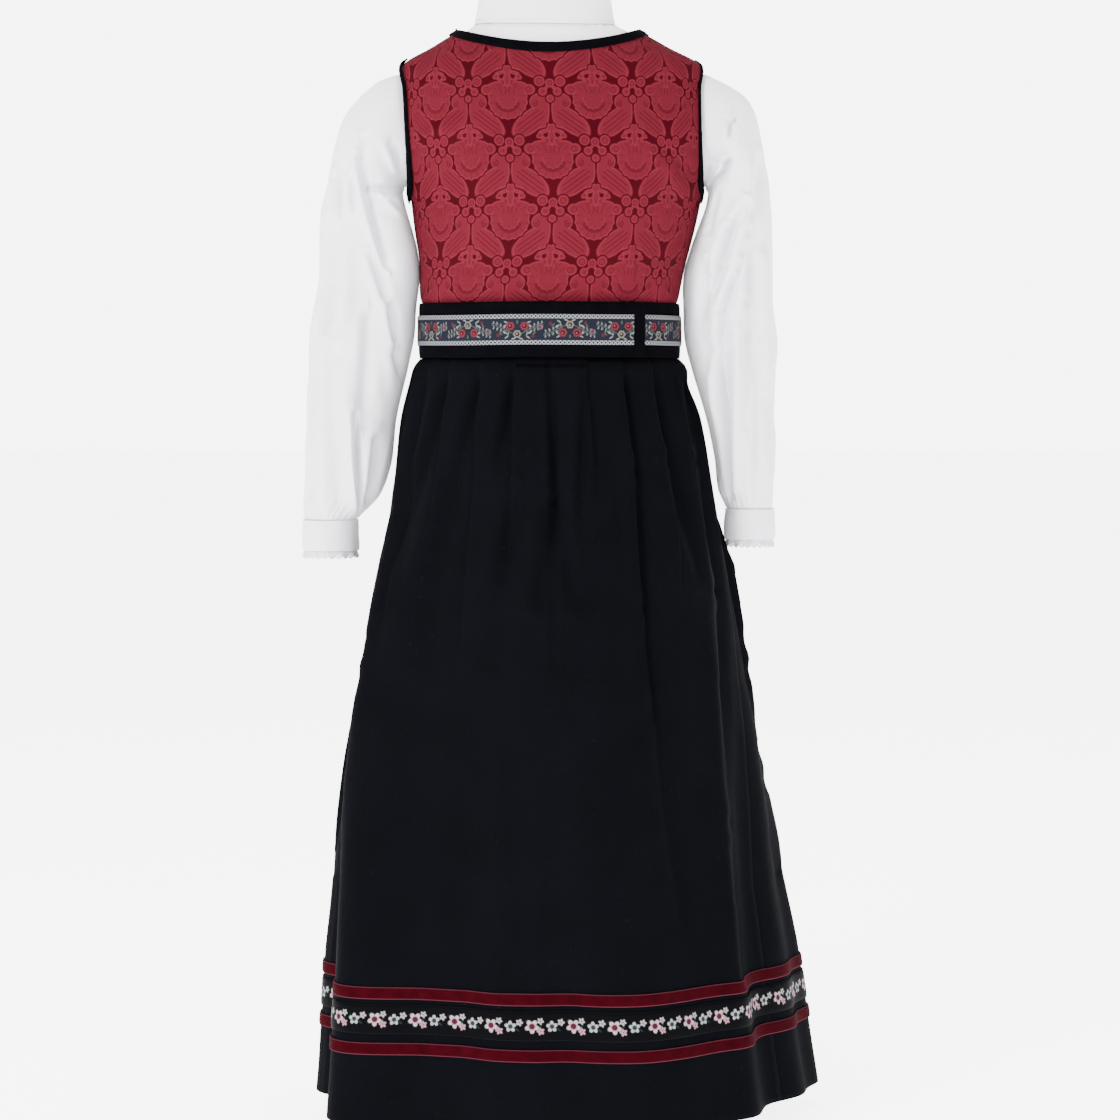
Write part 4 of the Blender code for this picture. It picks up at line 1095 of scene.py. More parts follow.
RIGHT_SLEEVE = (
    Ring(132, -36, 133, -130, 42, 0), Ring(153, -45.5, 135.5, -131.5, 46, 0),
    Ring(166, -56, 136, -136, 48, 0), Ring(174, -70, 135.5, -142, 48, -1),
    Ring(180, -92, 133.5, -151, 47, -1), Ring(185, -126, 130, -165, 46, 0),
    Ring(188, -158, 124.5, -184, 45, 1), Ring(189.5, -195, 118, -206, 43, 3),
    Ring(190, -225, 115, -230, 43, 4), Ring(192, -257, 115, -257, 42, 5),
    Ring(193, -288, 122, -286, 41, 6), Ring(192.5, -325, 133, -322, 39, 7),
    Ring(192, -362, 141, -358, 34, 8), Ring(191.5, -386, 144, -384, 29, 9),
    Ring(190.5, -399, 150, -398, 25, 10), Ring(190.4, -402.2, 152, -402.2, 22.5, 11),
)
Cuff = namedtuple("Cuff", "x y half_width depth top_z height")
CUFFS = {"left": Cuff(-186.5, 11, 21.8, 24, -412, 26), "right": Cuff(171.2, 11, 19.2, 22.5, -402.5, 26)}
LACE_DEPTH = 6.5
LACE_WAVES = 12
LACE_WAVE_RISE = 1.2

LEFT_FOLDS = (
    Crease(-153, -92, -157, -109, 3.2, -2.4), Crease(-157, -109, -146, -160, 3.0, -3.6),
    Crease(-146, -160, -135, -198, 3.0, -3.0), Crease(-172, -116, -176, -124, 2.6, -2.0),
    Crease(-176, -124, -175, -153, 3.0, -2.2), Crease(-163, -124, -163, -150, 2.8, -2.2),
    Crease(-131, -97, -119, -122, 3.0, -3.4), Crease(-151, -134, -138, -134, 2.4, -2.4),
    Crease(-138, -134, -122, -129, 2.6, -3.2), Crease(-140, -142, -124, -152, 3.6, 1.6),
    Crease(-147, -190, -135, -226, 3.4, -2.4), Crease(-181, -168, -187, -240, 6.0, -2.6),
    Crease(-168, -175, -172, -260, 7.0, 2.2), Crease(-131, -232, -126, -262, 4.0, -3.4),
    Crease(-128, -268, -122, -300, 4.0, -3.0), Crease(-150, -240, -156, -330, 5.0, -2.4),
    Crease(-186, -260, -189, -392, 7.0, 2.4), Crease(-161.5, -320, -161, -410, 2.4, -4.6),
    Crease(-143, -344, -154, -410, 4.4, -5.0), Crease(-129, -337, -145, -400, 3.2, 2.4),
    Crease(-172, -262, -168, -392, 6.0, 2.0), Crease(-200, -250, -203, -390, 4.0, -1.6),
)
RIGHT_FOLDS = (
    Crease(157, -73, 151, -80, 2.4, -2.4), Crease(151, -80, 150, -91, 2.4, -2.6),
    Crease(150, -110, 145, -122, 2.8, -3.6), Crease(145, -122, 134, -129, 2.8, -3.8),
    Crease(137, -107, 149, -108, 3.2, 2.0), Crease(141, -137, 137, -159, 2.4, -3.0),
    Crease(137, -159, 136, -170, 2.2, -2.6), Crease(165, -147, 152, -169, 3.6, -2.6),
    Crease(152, -169, 143, -199, 3.6, -3.0), Crease(143, -199, 138, -220, 3.4, -2.4),
    Crease(169, -151, 159, -199, 3.6, -3.0), Crease(159, -199, 146, -236, 3.6, -3.2),
    Crease(146, -236, 145, -262, 3.4, -2.4), Crease(177, -110, 171, -169, 4.4, -2.4),
    Crease(171, -169, 168, -228, 4.4, -2.6), Crease(168, -228, 166, -330, 5.0, -2.4),
    Crease(134, -196, 128, -240, 4.0, -2.0), Crease(182, -190, 182, -300, 6.0, 2.0),
    Crease(156, -250, 158, -385, 5.0, 2.6), Crease(145, -275, 152, -392, 3.6, -3.6),
    Crease(176, -270, 175, -392, 4.6, -2.4), Crease(135, -290, 146, -372, 4.0, 2.2),
)


def armhole_point(sign, turn):
    """A point of the shirt's armhole edge. The turn runs from the underarm up the back, in radians."""
    share = (turn / math.pi) % 2
    side = BACK if share <= 1 else FRONT
    rise = share if share <= 1 else 2 - share
    panel = SHIRT[side]
    path = column_path(side, panel.cut, sign, 0)
    angle, z = spot_along(path, path[-1][0] * (1 - rise))
    point = laid_point(side, angle, z, -panel.cut.inset)
    if rise < 0.004 or rise > 0.996:
        point.y = 0
    return point + Vector((sign * 0.5, 0, 0))


def ring_row(rows, along):
    """A ring between the table's rings, on a smooth curve through them."""
    last = len(rows) - 1
    i = min(int(along), last - 1)
    share = along - i
    a, b, c, d = rows[max(i - 1, 0)], rows[i], rows[i + 1], rows[min(i + 2, last)]
    return Ring(*(
        q + share * ((r - p) / 2 + share * (p - 2.5 * q + 2 * r - s / 2 + share * (1.5 * (q - r) + (s - p) / 2)))
        for p, q, r, s in zip(a, b, c, d)
    ))


def ring_point(row, turn, out):
    outer = Vector((row.outer_x, 0, row.outer_z))
    inner = Vector((row.inner_x, 0, row.inner_z))
    middle = (outer + inner) / 2
    half = inner - middle
    half *= 1 + out / half.length
    point = middle + half * math.cos(turn)
    point.y = row.forward - (row.depth + out) * math.sin(turn)
    return point


def make_sleeve(side_name, sign, rows, folds):
    name = "shirt_sleeve_" + side_name
    spacing = [0.0]
    for high, low in zip(rows, rows[1:]):
        spacing.append(spacing[-1] + max(6, (high.outer_z + high.inner_z - low.outer_z - low.inner_z) / 2))
    start = 7.0
    total = start + spacing[-1]
    edge = {}

    def relief(x, z, turn, length):
        back = math.sin(turn)
        mirrored = creased(x, z, folds) if back > 0 else creased(x + 7 * sign, z - 11, folds)
        drape = mirrored * min(1, abs(back) * 2.2)
        left = total - length
        gather = math.sin(turn * 26 + noise.noise(Vector((turn * 2, left * 0.02, 1))) * 5)
        gather *= (0.35 if back > 0 else 0.8) * math.exp(-max(left - 3, 0) / 26) * min(1, left / 5)
        head = math.sin(turn * 30 + 1) * 0.4 * math.exp(-length / 14) * min(1, length / 4)
        soft = noise.noise(Vector((x * 0.03, turn * 1.6, z * 0.022))) * 2.6
        soft += noise.noise(Vector((x * 0.07, turn * 3.2, z * 0.06 + 9))) * 0.9
        soft *= min(1, length / 25) * min(1, left / 20)
        moved = (drape * FOLD_DEPTH + soft) * min(1, length / 12) * min(1, left / 14)
        near = eased((math.cos(turn) - 0.55) / 0.4)
        moved = moved * (1 - near) + min(moved, 0) * near * 0.3
        closer = 6.6 * eased((math.cos(turn) - 0.2) / 0.7) * eased((-120 - z) / 20) * eased((z + 250) / 75)
        return moved * sizes().creases + gather + head + closer

    def place(u, v):
        turn = u * math.tau
        length = v * total
        key = round(u, 5)
        if key not in edge:
            edge[key] = armhole_point(sign, turn)
        if length < start:
            first = ring_point(rows[0], turn, 0)
            return edge[key].lerp(first, length / start)
        down = length - start
        i = next((k for k in range(len(spacing) - 1) if down <= spacing[k + 1] + 1e-6), len(spacing) - 2)
        along = i + (down - spacing[i]) / (spacing[i + 1] - spacing[i])
        row = ring_row(rows, min(along, len(rows) - 1))
        plain = ring_point(row, turn, 0)
        return ring_point(row, turn, relief(plain.x, plain.z, turn, length))

    def lay(u, v, point):
        return u * 270, v * total

    piece = cloth_sheet(name + "_cloth", 208, 196, place, lay, "cotton", [name], sizes().shirt_cloth,
                        wrap=True, flip=sign < 0)


def oval(cuff, grow, z, turn):
    x = cuff.x + (cuff.half_width + grow) * math.cos(turn)
    y = cuff.y + (cuff.depth + grow) * math.sin(turn)
    return Vector((x, y, z))


def make_cuff(side_name, cuff):
    low = cuff.top_z - cuff.height

    def place(u, v):
        turn = u * math.tau
        soft = noise.noise(Vector((math.cos(turn) * 2, math.sin(turn) * 2, v * 2 + cuff.x))) * 0.7
        edge = 0.4 * math.sin(math.pi * v)
        line = -0.3 * math.exp(-((v - 0.1) / 0.03) ** 2) - 0.3 * math.exp(-((v - 0.93) / 0.03) ** 2)
        return oval(cuff, 0.9 * v + soft + edge + line, cuff.top_z - cuff.height * v, turn)

    def lay(u, v, point):
        return u * 145, v * cuff.height

    piece = cloth_sheet(f"shirt_cuff_{side_name}_cloth", 110, 20, place, lay, "cotton",
                        [f"shirt_cuff_{side_name}"], sizes().cuff_cloth, wrap=True, flip=True)

    def lace_place(u, v):
        turn = u * math.tau
        scallop = abs(math.sin(turn * LACE_WAVES))
        drop = LACE_DEPTH * (0.72 + 0.28 * scallop)
        ripple = LACE_WAVE_RISE * math.cos(turn * LACE_WAVES) * v
        return oval(cuff, 0.4 + 0.4 * v + ripple, low - 0.1 - drop * v, turn)

    def lace_lay(u, v, point):
        return u * 3.1 * 47, v * LACE_DEPTH

    lace = cloth_sheet(f"cuff_lace_{side_name}_cloth", 192, 8, lace_place, lace_lay, "lace",
                       [f"cuff_lace_{side_name}"], 0.5 * MM, wrap=True, flip=True)
    mesh = bmesh.new()
    for share in (0.1, 0.93):
        z = cuff.top_z - cuff.height * share
        row = [oval(cuff, 0.9 * share + 0.25, z, i / 96 * math.tau) for i in range(97)]
        sew(mesh, row, 2.0, 0.9, 0.45, 0.3, None)
    finish_piece(f"cuff_stitches_{side_name}", mesh, "white_thread")


# Bodice

BACK_CREASES = (
    Crease(92, -98, 122, -128, 6, -1.6), Crease(86, -110, 116, -140, 6, 1.2),
    Crease(-106, -85, -76, -69, 6, -1.3), Crease(-112, -96, -80, -84, 6, 0.9),
    Crease(-75, -176, -74, -240, 1.3, -1.1), Crease(72, -176, 73, -240, 1.3, -1.1),
    Crease(-98, -190, -92, -240, 6, 0.9), Crease(98, -186, 90, -240, 6, 0.9),
    Crease(-40, -222, 30, -224, 9, -0.8), Crease(-60, -236, 50, -237, 6, 0.7),
    Crease(-30, -40, -60, -70, 12, -0.6), Crease(40, -36, 70, -66, 12, -0.6),
)
FRONT_CREASES = (
    Crease(90, -100, 118, -130, 6, -1.4), Crease(-90, -100, -114, -128, 6, -1.4),
    Crease(-60, -168, -58, -240, 1.3, -1.0), Crease(60, -168, 58, -240, 1.3, -1.0),
    Crease(-30, -150, -80, -140, 10, -0.7), Crease(30, -150, 80, -138, 10, -0.7),
)


def bodice_relief(side, x, z):
    creases = BACK_CREASES if side == BACK else FRONT_CREASES
    soft = noise.noise(Vector((x * 0.018, side * 3, z * 0.02))) * 0.7
    return creased(x, z, creases) + soft


def make_bodice():
    parts = (
        ("bodice_back", BACK, -1, 1),
        ("bodice_front_left", FRONT, -1, -0.0022),
        ("bodice_front_right", FRONT, 0.0022, 1),
    )
    for name, side, first, last in parts:
        panel = BODICE[side]

        def place(u, v):
            across = first + (last - first) * u
            plain = panel.point(across, v, 0)
            return panel.point(across, v, bodice_relief(side, plain.x, plain.z))

        def lay(u, v, point):
            return flat_across(point) + 2.1, -point.z - 8

        columns = 190 if side == BACK else 96
        piece = cloth_sheet(name + "_cloth", columns, 130, place, lay, "damask", [name], sizes().damask,
                            flip=side == FRONT)
        side == BACK


LAID = 0.5
CORNER_STEPS = 8
NECK_COLUMNS = 44
RIM_SHARE = 0.055
RIM_START = 0.058


def binding_pairs(side, sign):
    """Edge and far spots of the neckline's binding on one panel, from its middle to the shoulder line."""
    panel = BODICE[side]
    cut = panel.cut
    pairs = []
    for i in range(NECK_COLUMNS + 1):
        across = sign * cut.neck_part * i / NECK_COLUMNS * 0.9999
        path = panel.path(across)
        pairs.append((spot_along(path, 0), spot_along(path, BINDING)))
    corner = pairs[-1][0]
    for k in range(1, CORNER_STEPS + 1):
        part = k / CORNER_STEPS
        path = panel.path(sign * (cut.neck_part + RIM_START * part))
        pairs.append((corner, spot_along(path, BINDING * (1 - part))))
    return [((side, *edge), (side, *far)) for edge, far in pairs]


def strip_sheet(name, pairs, closed):
    """Velvet binding along pairs of edge and far spots, a little rounded across its width."""
    lengths, points = [0.0], []
    for (side_e, angle_e, z_e), (side_f, angle_f, z_f) in pairs:
        out = LAID + 1.0
        edge = laid_point(side_e, angle_e, z_e, out)
        far = laid_point(side_f, angle_f, z_f, out)
        normal_e, normal_f = form_normal(side_e, angle_e, z_e), form_normal(side_f, angle_f, z_f)
        for point in (edge, far):
            relief = bodice_relief(side_e, point.x, point.z)
            point += normal_e * max(relief, -0.4)
        points.append((edge, far, normal_e, normal_f))
    area = 0
    for (one, low, *_), (two, deep, *_) in zip(points, points[1:]):
        lengths.append(lengths[-1] + max((two - one).length, 0.05))
        area += ((one - low).length + (two - deep).length + 2) / 2 * ((two - one).length + (deep - low).length) / 2

    def at(u):
        spot = u * (len(points) - 1)
        i = min(int(spot), len(points) - 2)
        return i, spot - i

    def place(u, v):
        i, share = at(u)
        edge, far, normal_e, normal_f = (a.lerp(b, share) for a, b in zip(points[i], points[i + 1]))
        edge = edge + (edge - far).normalized() * 1.0
        bulge = 0.55 * (1 - (2 * v - 1) ** 4) - 0.35
        pile = noise.noise(edge.lerp(far, v) * 0.35) * 0.25
        return edge.lerp(far, v) + normal_e.lerp(normal_f, v) * (bulge + pile)

    def lay(u, v, point):
        i, share = at(u)
        return lengths[i] + (lengths[i + 1] - lengths[i]) * share, v * 9

    piece = cloth_sheet(name + "_cloth", (len(pairs) - 1) * 2, 8, place, lay, "velvet", [name], sizes().velvet,
                        wrap=closed)


def make_bindings():
    front_left, front_right = binding_pairs(FRONT, -1), binding_pairs(FRONT, 1)
    back_left, back_right = binding_pairs(BACK, -1), binding_pairs(BACK, 1)
    pairs = front_left + back_left[-2::-1] + back_right[1:] + front_right[-2::-1]
    split = 0.4
    for i, sign in ((0, -1), (-1, 1)):
        pairs[i] = tuple((side, sign * split, z) for side, _, z in pairs[i])
    strip_sheet("bodice_neck_binding", pairs, False)
    for name, sign in (("left", -1), ("right", 1)):
        pairs = []
        for side in (BACK, FRONT):
            panel = BODICE[side]
            edge_path = column_path(side, panel.cut, sign, BINDING)
            far_path = column_path(side, panel.cut, sign * (1 - RIM_SHARE), BINDING)
            half = []
            for k in range(49):
                share = k / 48
                edge = spot_along(edge_path, edge_path[-1][0] * share)
                angle, z = spot_along(far_path, far_path[-1][0] * share)
                angle += (sign * 90 - angle) * eased((share - 0.86) / 0.14)
                half.append(((side, *edge), (side, angle, z)))
            pairs += half if side == BACK else half[-2::-1]
        strip_sheet("bodice_armhole_binding_" + name, pairs, True)


HOOK_HEIGHTS = (-78, -110, -142, -174, -206)


def make_hooks():
    """Plain dull hooks over the closed front, each a rounded bar with two eyelets."""
    for number, z in enumerate(HOOK_HEIGHTS, 1):
        mesh = bmesh.new()
        normal = form_normal(FRONT, 0, z)
        middle = laid_point(FRONT, 0, z, LAID + 1.1)
        across = Vector((1, 0, 0))
        up = normal.cross(across).normalized()
        made = bmesh.ops.create_cube(mesh, size=1)
        bmesh.ops.scale(mesh, vec=Vector((8.6, 3.4, 1.1)) * MM, verts=made["verts"])
        bmesh.ops.bevel(mesh, geom=mesh.edges[:], offset=0.45 * MM, segments=3, profile=0.5, affect="EDGES",
                        material=-1)
        for x in (-3.0, 3.0):
            made = bmesh.ops.create_uvsphere(mesh, u_segments=12, v_segments=8, radius=0.85 * MM)
            bmesh.ops.scale(mesh, vec=(1, 1, 0.6), verts=made["verts"])
            bmesh.ops.translate(mesh, vec=Vector((x, 0, 0.55)) * MM, verts=made["verts"])
        bmesh.ops.transform(mesh, matrix=axes_matrix(across, up, normal, middle * MM), verts=mesh.verts)
        bmesh.ops.recalc_face_normals(mesh, faces=mesh.faces)
        piece = finish_piece(f"bodice_hook_{number}_metal", mesh, "metal", [f"bodice_hook_{number}"])


# Belt

BELT_TOP_Z, BELT_HEIGHT, BELT_CLEARANCE, BELT_LAP_RISE = -229, 46, 1.6, 4.8
BELT_TAB_ANGLE, BELT_LAP, BELT_RISE_ANGLE = 42.0, 38.0, 70
BELT_CORNER, BELT_RIBBON_HEIGHT, BELT_RIBBON_BORDER = 5, 25, 8
BELT_CLOTH = 2.0


def waist_point(angle, form_z, z, out):
    """A point level with z, out of the figure's section at form_z, an angle round from centre back."""
    angle = (angle + 180) % 360 - 180
    side = BACK if abs(angle) <= 90 else FRONT
    turn = angle if side == BACK else math.copysign(180 - abs(angle), angle)
    normal = form_normal(side, turn, form_z)
    normal.z = 0
    point = form_point(side, turn, form_z) + normal.normalized() * out
    point.z = z
    return point


def belt_out(angle):
    before_lap = BELT_TAB_ANGLE - BELT_LAP + 360 - angle
    return BELT_CLEARANCE + BELT_LAP_RISE * eased(1 - before_lap / BELT_RISE_ANGLE)


def lengths_round(first, last, count, out):
    """Angles round the belt with the length to each, so that cloth is laid at its true size."""
    angles = [first + (last - first) * i / count for i in range(count + 1)]
    points = [waist_point(angle, BELT_TOP_Z, 0, out) for angle in angles]
    lengths = [0.0]
    for one, two in zip(points, points[1:]):
        lengths.append(lengths[-1] + (two - one).length)
    return angles, lengths


def read_along(values, share):
    spot = min(max(share, 0), 1) * (len(values) - 1)
    i = min(int(spot), len(values) - 2)
    return values[i] + (values[i + 1] - values[i]) * (spot - i)


def belt_wave(angle, v):
    """Slight unevenness of the belt's cloth and of the ribbon on it."""
    slow = noise.noise(Vector((angle * 0.03, v, 5))) * 0.6
    return slow + noise.noise(Vector((angle * 0.11, v * 2, 1))) * 0.25


def make_belt():
    start, end = BELT_TAB_ANGLE - BELT_LAP, BELT_TAB_ANGLE + 360
    _, lengths = lengths_round(start, end, 240, BELT_CLEARANCE + BELT_CLOTH)
    middle_z = BELT_TOP_Z - BELT_HEIGHT / 2
    columns = 420

    def place(u, v):
        angle = start + (end - start) * u
        from_end = max(lengths[-1] - read_along(lengths, u), 0)
        inside = max(BELT_CORNER - from_end, 0)
        trim = BELT_CORNER - math.sqrt(max(BELT_CORNER ** 2 - inside ** 2, 0))
        half = BELT_HEIGHT / 2 - trim
        wave = belt_wave(angle, v)
        rounding = -0.7 * abs(2 * v - 1) ** 10
        z = middle_z + half * (1 - 2 * v) + noise.noise(Vector((angle * 0.02, 0, 2))) * 0.8
        return waist_point(angle, BELT_TOP_Z, z, belt_out(angle) + BELT_CLOTH + rounding + max(wave, -0.5))

    def lay(u, v, point):
        return read_along(lengths, u), v * BELT_HEIGHT

    piece = cloth_sheet("belt_band_cloth", columns, 18, place, lay, "velvet", ["belt_band"], 1.9 * MM)
    lengths[-1] * MM

    border_angle = BELT_RIBBON_BORDER * 0.8
    ribbon_end = (end - border_angle - start) / (end - start)
    ribbon_half = BELT_RIBBON_HEIGHT / 2

    def ribbon_place(u, v):
        share = u * ribbon_end
        angle = start + (end - start) * share
        wave = belt_wave(angle, v)
        z = middle_z + ribbon_half * (1 - 2 * v) + noise.noise(Vector((angle * 0.02, 0, 2))) * 0.8
        edge = -0.25 * abs(2 * v - 1) ** 8
        out = belt_out(angle) + BELT_CLOTH + LAID + 0.75 + edge + max(wave, -0.5)
        return waist_point(angle, BELT_TOP_Z, z, out)

    def ribbon_lay(u, v, point):
        return read_along(lengths, u * ribbon_end) + 17, v * BELT_RIBBON_HEIGHT

    piece = cloth_sheet("belt_ribbon_cloth", columns, 12, ribbon_place, ribbon_lay, "belt_ribbon", ["belt_ribbon"],
                        sizes().ribbon)
    lengths[-1] * MM * ribbon_end


# Skirt

Skirt = namedtuple("Skirt", "z half_width back front shift")
SKIRT = (
    Skirt(-276.8, 110, 86, 85, 0.5), Skirt(-284, 116, 92, 90, 1), Skirt(-296, 118.5, 96, 94, 0.5),
    Skirt(-327, 127.5, 105, 101, 1.7), Skirt(-378, 134.7, 114, 109, 4), Skirt(-446, 147, 124, 118, 3.5),
    Skirt(-514, 158, 133, 126, 4.3), Skirt(-582, 169, 142, 133, 4.8), Skirt(-650, 179, 150, 140, 6.4),
    Skirt(-718, 188, 156, 146, 9.4), Skirt(-778, 197, 161, 150, 12),
)
SKIRT_HEM_Z = -899
HEM_FLARE, HEM_SHIFT = 0.062, 5
WAISTBAND_TOP_Z, WAISTBAND_LOW_Z = -246.3, -276.4
Pleat = namedtuple("Pleat", "waist hem depth run")
RIGHT_PLEATS = (
    Pleat(0, 0, 4, 300), Pleat(15, 11, 4.2, 130), Pleat(31, 27, 4.5, 420), Pleat(47, 39, 4.5, 230),
    Pleat(61, 45, 3.5, 120), Pleat(75, 51, 5, 380), Pleat(90, 70, 4, 170), Pleat(105, 92, 4.5, 260),
    Pleat(120, 112, 4, 180), Pleat(135, 130, 4.5, 320), Pleat(150, 147, 4, 160), Pleat(165, 164, 4.5, 240),
    Pleat(180, 180, 0, 200),
)
LEFT_PLEATS = (
    Pleat(0, 0, 4, 300), Pleat(-14, -13, 4.2, 200), Pleat(-29, -27, 4.5, 330), Pleat(-46, -38, 4.5, 160),
    Pleat(-61, -48, 5, 260), Pleat(-75, -62, 4, 170), Pleat(-90, -83, 4, 210), Pleat(-105, -102, 4.5, 280),
    Pleat(-120, -119, 4, 150), Pleat(-135, -134, 4.5, 300), Pleat(-150, -149, 4, 190),
    Pleat(-165, -165, 4.5, 230), Pleat(-180, -180, 0, 200),
)
KNIFE = ((0, 0), (0.035, 0.15), (0.09, 0.95), (0.13, 1.05), (0.3, 0.78), (0.55, 0.45), (0.8, 0.18), (1, 0))
BOX = ((0, 1.1), (0.05, 0.95), (0.1, 0.2), (0.16, 0), (1, 0))
Fold = namedtuple("Fold", "middle half_width height run")
FOLDS = (
    Fold(0, 9, -3, 330), Fold(17, 17, 8, 300), Fold(40, 13, -5, 330), Fold(64, 20, -22, 380),
    Fold(84, 14, -6, 300), Fold(101, 15, 9, 300), Fold(119, 15, -16, 300), Fold(137, 15, 12, 420),
    Fold(154, 13, -13, 330), Fold(172, 13, 8, 260), Fold(-25, 10, -5, 300), Fold(-51, 19, 34, 480),
    Fold(-72, 12, -10, 300), Fold(-88, 13, 7, 340), Fold(-107, 14, -15, 360), Fold(-127, 15, 11, 300),
    Fold(-147, 13, -13, 420), Fold(-165, 13, 9, 300),
)
FOLD_FULL = SKIRT[-1].z - SKIRT_HEM_Z
PLEAT_OPENS, PLEAT_START = 22, 0.45
COLUMNS_IN_PLEAT = 15
Column = namedtuple("Column", "waist hem depth run")


def profile(points, share):
    for (x0, y0), (x1, y1) in zip(points, points[1:]):
        if share <= x1:
            part = (share - x0) / (x1 - x0)
            return y0 + (y1 - y0) * eased(part)
    return points[-1][1]


def skirt_columns():
    """Columns of cloth round the skirt, from -180 to 180 degrees."""
    halves = []
    for pleats in (LEFT_PLEATS, RIGHT_PLEATS):
        columns = []
        for k, (this, after) in enumerate(zip(pleats, pleats[1:])):
            for i in range(COLUMNS_IN_PLEAT):
                share = (i / COLUMNS_IN_PLEAT) ** 1.5 if k else i / COLUMNS_IN_PLEAT
                sunk = profile(BOX if k == 0 else KNIFE, share)
                columns.append(Column(
                    this.waist + (after.waist - this.waist) * share, this.hem + (after.hem - this.hem) * share,
                    this.depth * sunk, this.run + (after.run - this.run) * eased((share - 0.3) / 0.7),
                ))
        columns.append(Column(pleats[-1].waist, pleats[-1].hem, 0, pleats[-1].run))
        halves.append(columns)
    left, right = halves
    return list(reversed(left[1:])) + right


def fold_height(hem_angle, above_hem):
    total = 0
    for fold in FOLDS:
        away = abs((hem_angle - fold.middle + 180) % 360 - 180) / fold.half_width
        if away < 1:
            swell = (1 + math.cos(math.pi * away)) / 2
            total += fold.height * swell * eased(1 - (above_hem - FOLD_FULL) / fold.run)
    return total


SKIRT_FOLD_DEPTH, SKIRT_TUCK, FRONT_FOLD_SHIFT = 1.8, 1.5, 20
SKIRT_FOLDS = (
    Crease(-102, -290, -122, -404, 4, -2.2), Crease(-84, -284, -106, -374, 4, -2.4),
    Crease(-106, -374, -122, -440, 6, -2.2), Crease(-56, -284, -76, -360, 4, -2.4),
    Crease(-76, -360, -94, -448, 6, -3.4), Crease(-94, -448, -100, -520, 8, -2.6),
    Crease(-28, -282, -42, -360, 4, -2.2), Crease(-24, -388, -38, -450, 7, -3.2),
    Crease(-38, -450, -46, -520, 9, -1.8), Crease(5, -286, 5, -396, 3, -2.0),
    Crease(4, -396, -6, -470, 7, -3.4), Crease(6, -396, 22, -470, 8, -3.0),
    Crease(31, -284, 26, -400, 4, -2.2), Crease(26, -400, 34, -470, 8, -1.6),
    Crease(64, -286, 74, -368, 4, -2.6), Crease(74, -368, 81, -480, 5, -3.0),
    Crease(81, -480, 88, -565, 6, -2.4), Crease(88, -565, 110, -735, 8, -2.0),
    Crease(89, -290, 102, -362, 4, -2.4), Crease(102, -362, 125, -450, 6, -3.2),
    Crease(115, -290, 128, -362, 4, -2.4), Crease(128, -362, 145, -470, 5, -3.0),
    Crease(145, -470, 158, -660, 6, -2.6), Crease(158, -660, 172, -790, 7, -2.4),
    Crease(-124, -415, -138, -530, 6, 3.0), Crease(-138, -530, -150, -625, 8, 2.8),
    Crease(-150, -625, -164, -700, 9, 2.4), Crease(-146, -430, -160, -560, 22, 2.4),
    Crease(176, -570, 190, -690, 24, 1.8), Crease(-60, -560, -70, -760, 16, -2.0),
    Crease(20, -560, 26, -760, 18, 1.8), Crease(-20, -600, -24, -780, 14, -1.4),
)


def skirt_point(column, z, out, fine=True):
    """A point of a column at a height. Below the last row of sizes the skirt only flares."""
    held = max(z, SKIRT[-1].z)
    flared = (SKIRT[-1].z - z) / (SKIRT[-1].z - SKIRT_HEM_Z) if z < SKIRT[-1].z else 0
    row = curve_through(SKIRT, held)
    fallen = (SKIRT[0].z - held) / (SKIRT[0].z - SKIRT[-1].z)
    angle = math.radians(column.waist + (column.hem - column.waist) * fallen)
    below = SKIRT[0].z - held
    depth = column.depth * (PLEAT_START + (1 - PLEAT_START) * eased(below / PLEAT_OPENS))
    depth *= 1 - eased((below - column.run * 0.35) / (column.run * 0.65))
    radius_in = row.back if math.cos(angle) > 0 else row.front
    point = Vector((row.half_width * math.sin(angle), -radius_in * math.cos(angle), 0))
    push = fold_height(column.hem, held - SKIRT_HEM_Z) - depth
    if fine:
        swing = Vector((math.sin(angle) * 1.6, math.cos(angle) * 1.6, z * 0.004))
        push += noise.noise(swing * 2) * 1.8 * eased(below / 120)
        push += noise.noise(swing * 6) * 0.5 * eased(below / 60)
        across = point.x + row.shift if point.y < 0 else FRONT_FOLD_SHIFT - point.x
        fade = eased(below / 30) * eased((z + 830) / 40)
        push += creased(across, z, SKIRT_FOLDS) * fade * SKIRT_FOLD_DEPTH * sizes().creases
    point += point.normalized() * push
    point *= 1 + HEM_FLARE * flared
    point += point.normalized() * out
    return point + Vector((row.shift + HEM_SHIFT * flared, 0, z))


def between_columns(columns, share):
    spot = share * (len(columns) - 1)
    i = min(int(spot), len(columns) - 2)
    part = spot - i
    return Column(*(a + (b - a) * part for a, b in zip(columns[i], columns[i + 1])))


def cumulative(columns, z):
    points = [skirt_point(column, z, 0, False) for column in columns]
    lengths = [0.0]
    for one, two in zip(points, points[1:]):
        lengths.append(lengths[-1] + (two - one).length)
    return lengths


def make_skirt():
    columns = skirt_columns()
    half = len(columns) // 2
    quarter = half // 2
    back = columns[quarter:half + quarter + 1]
    front = columns[half + quarter:] + columns[1:quarter + 1]
    for name, part in (("skirt_back", back), ("skirt_front", front)):
        lengths = cumulative(part, -650)
        depth = SKIRT[0].z - SKIRT_HEM_Z

        def place(u, v):
            point = skirt_point(between_columns(part, u), SKIRT[0].z - depth * v, 0)
            return point + Vector((0, 0, SKIRT_TUCK * max(1 - v * 8, 0)))

        def lay(u, v, point):
            return read_along(lengths, u), v * depth

        piece = cloth_sheet(name + "_cloth", len(part) - 1, 130, place, lay, "wool", [name], sizes().wool)


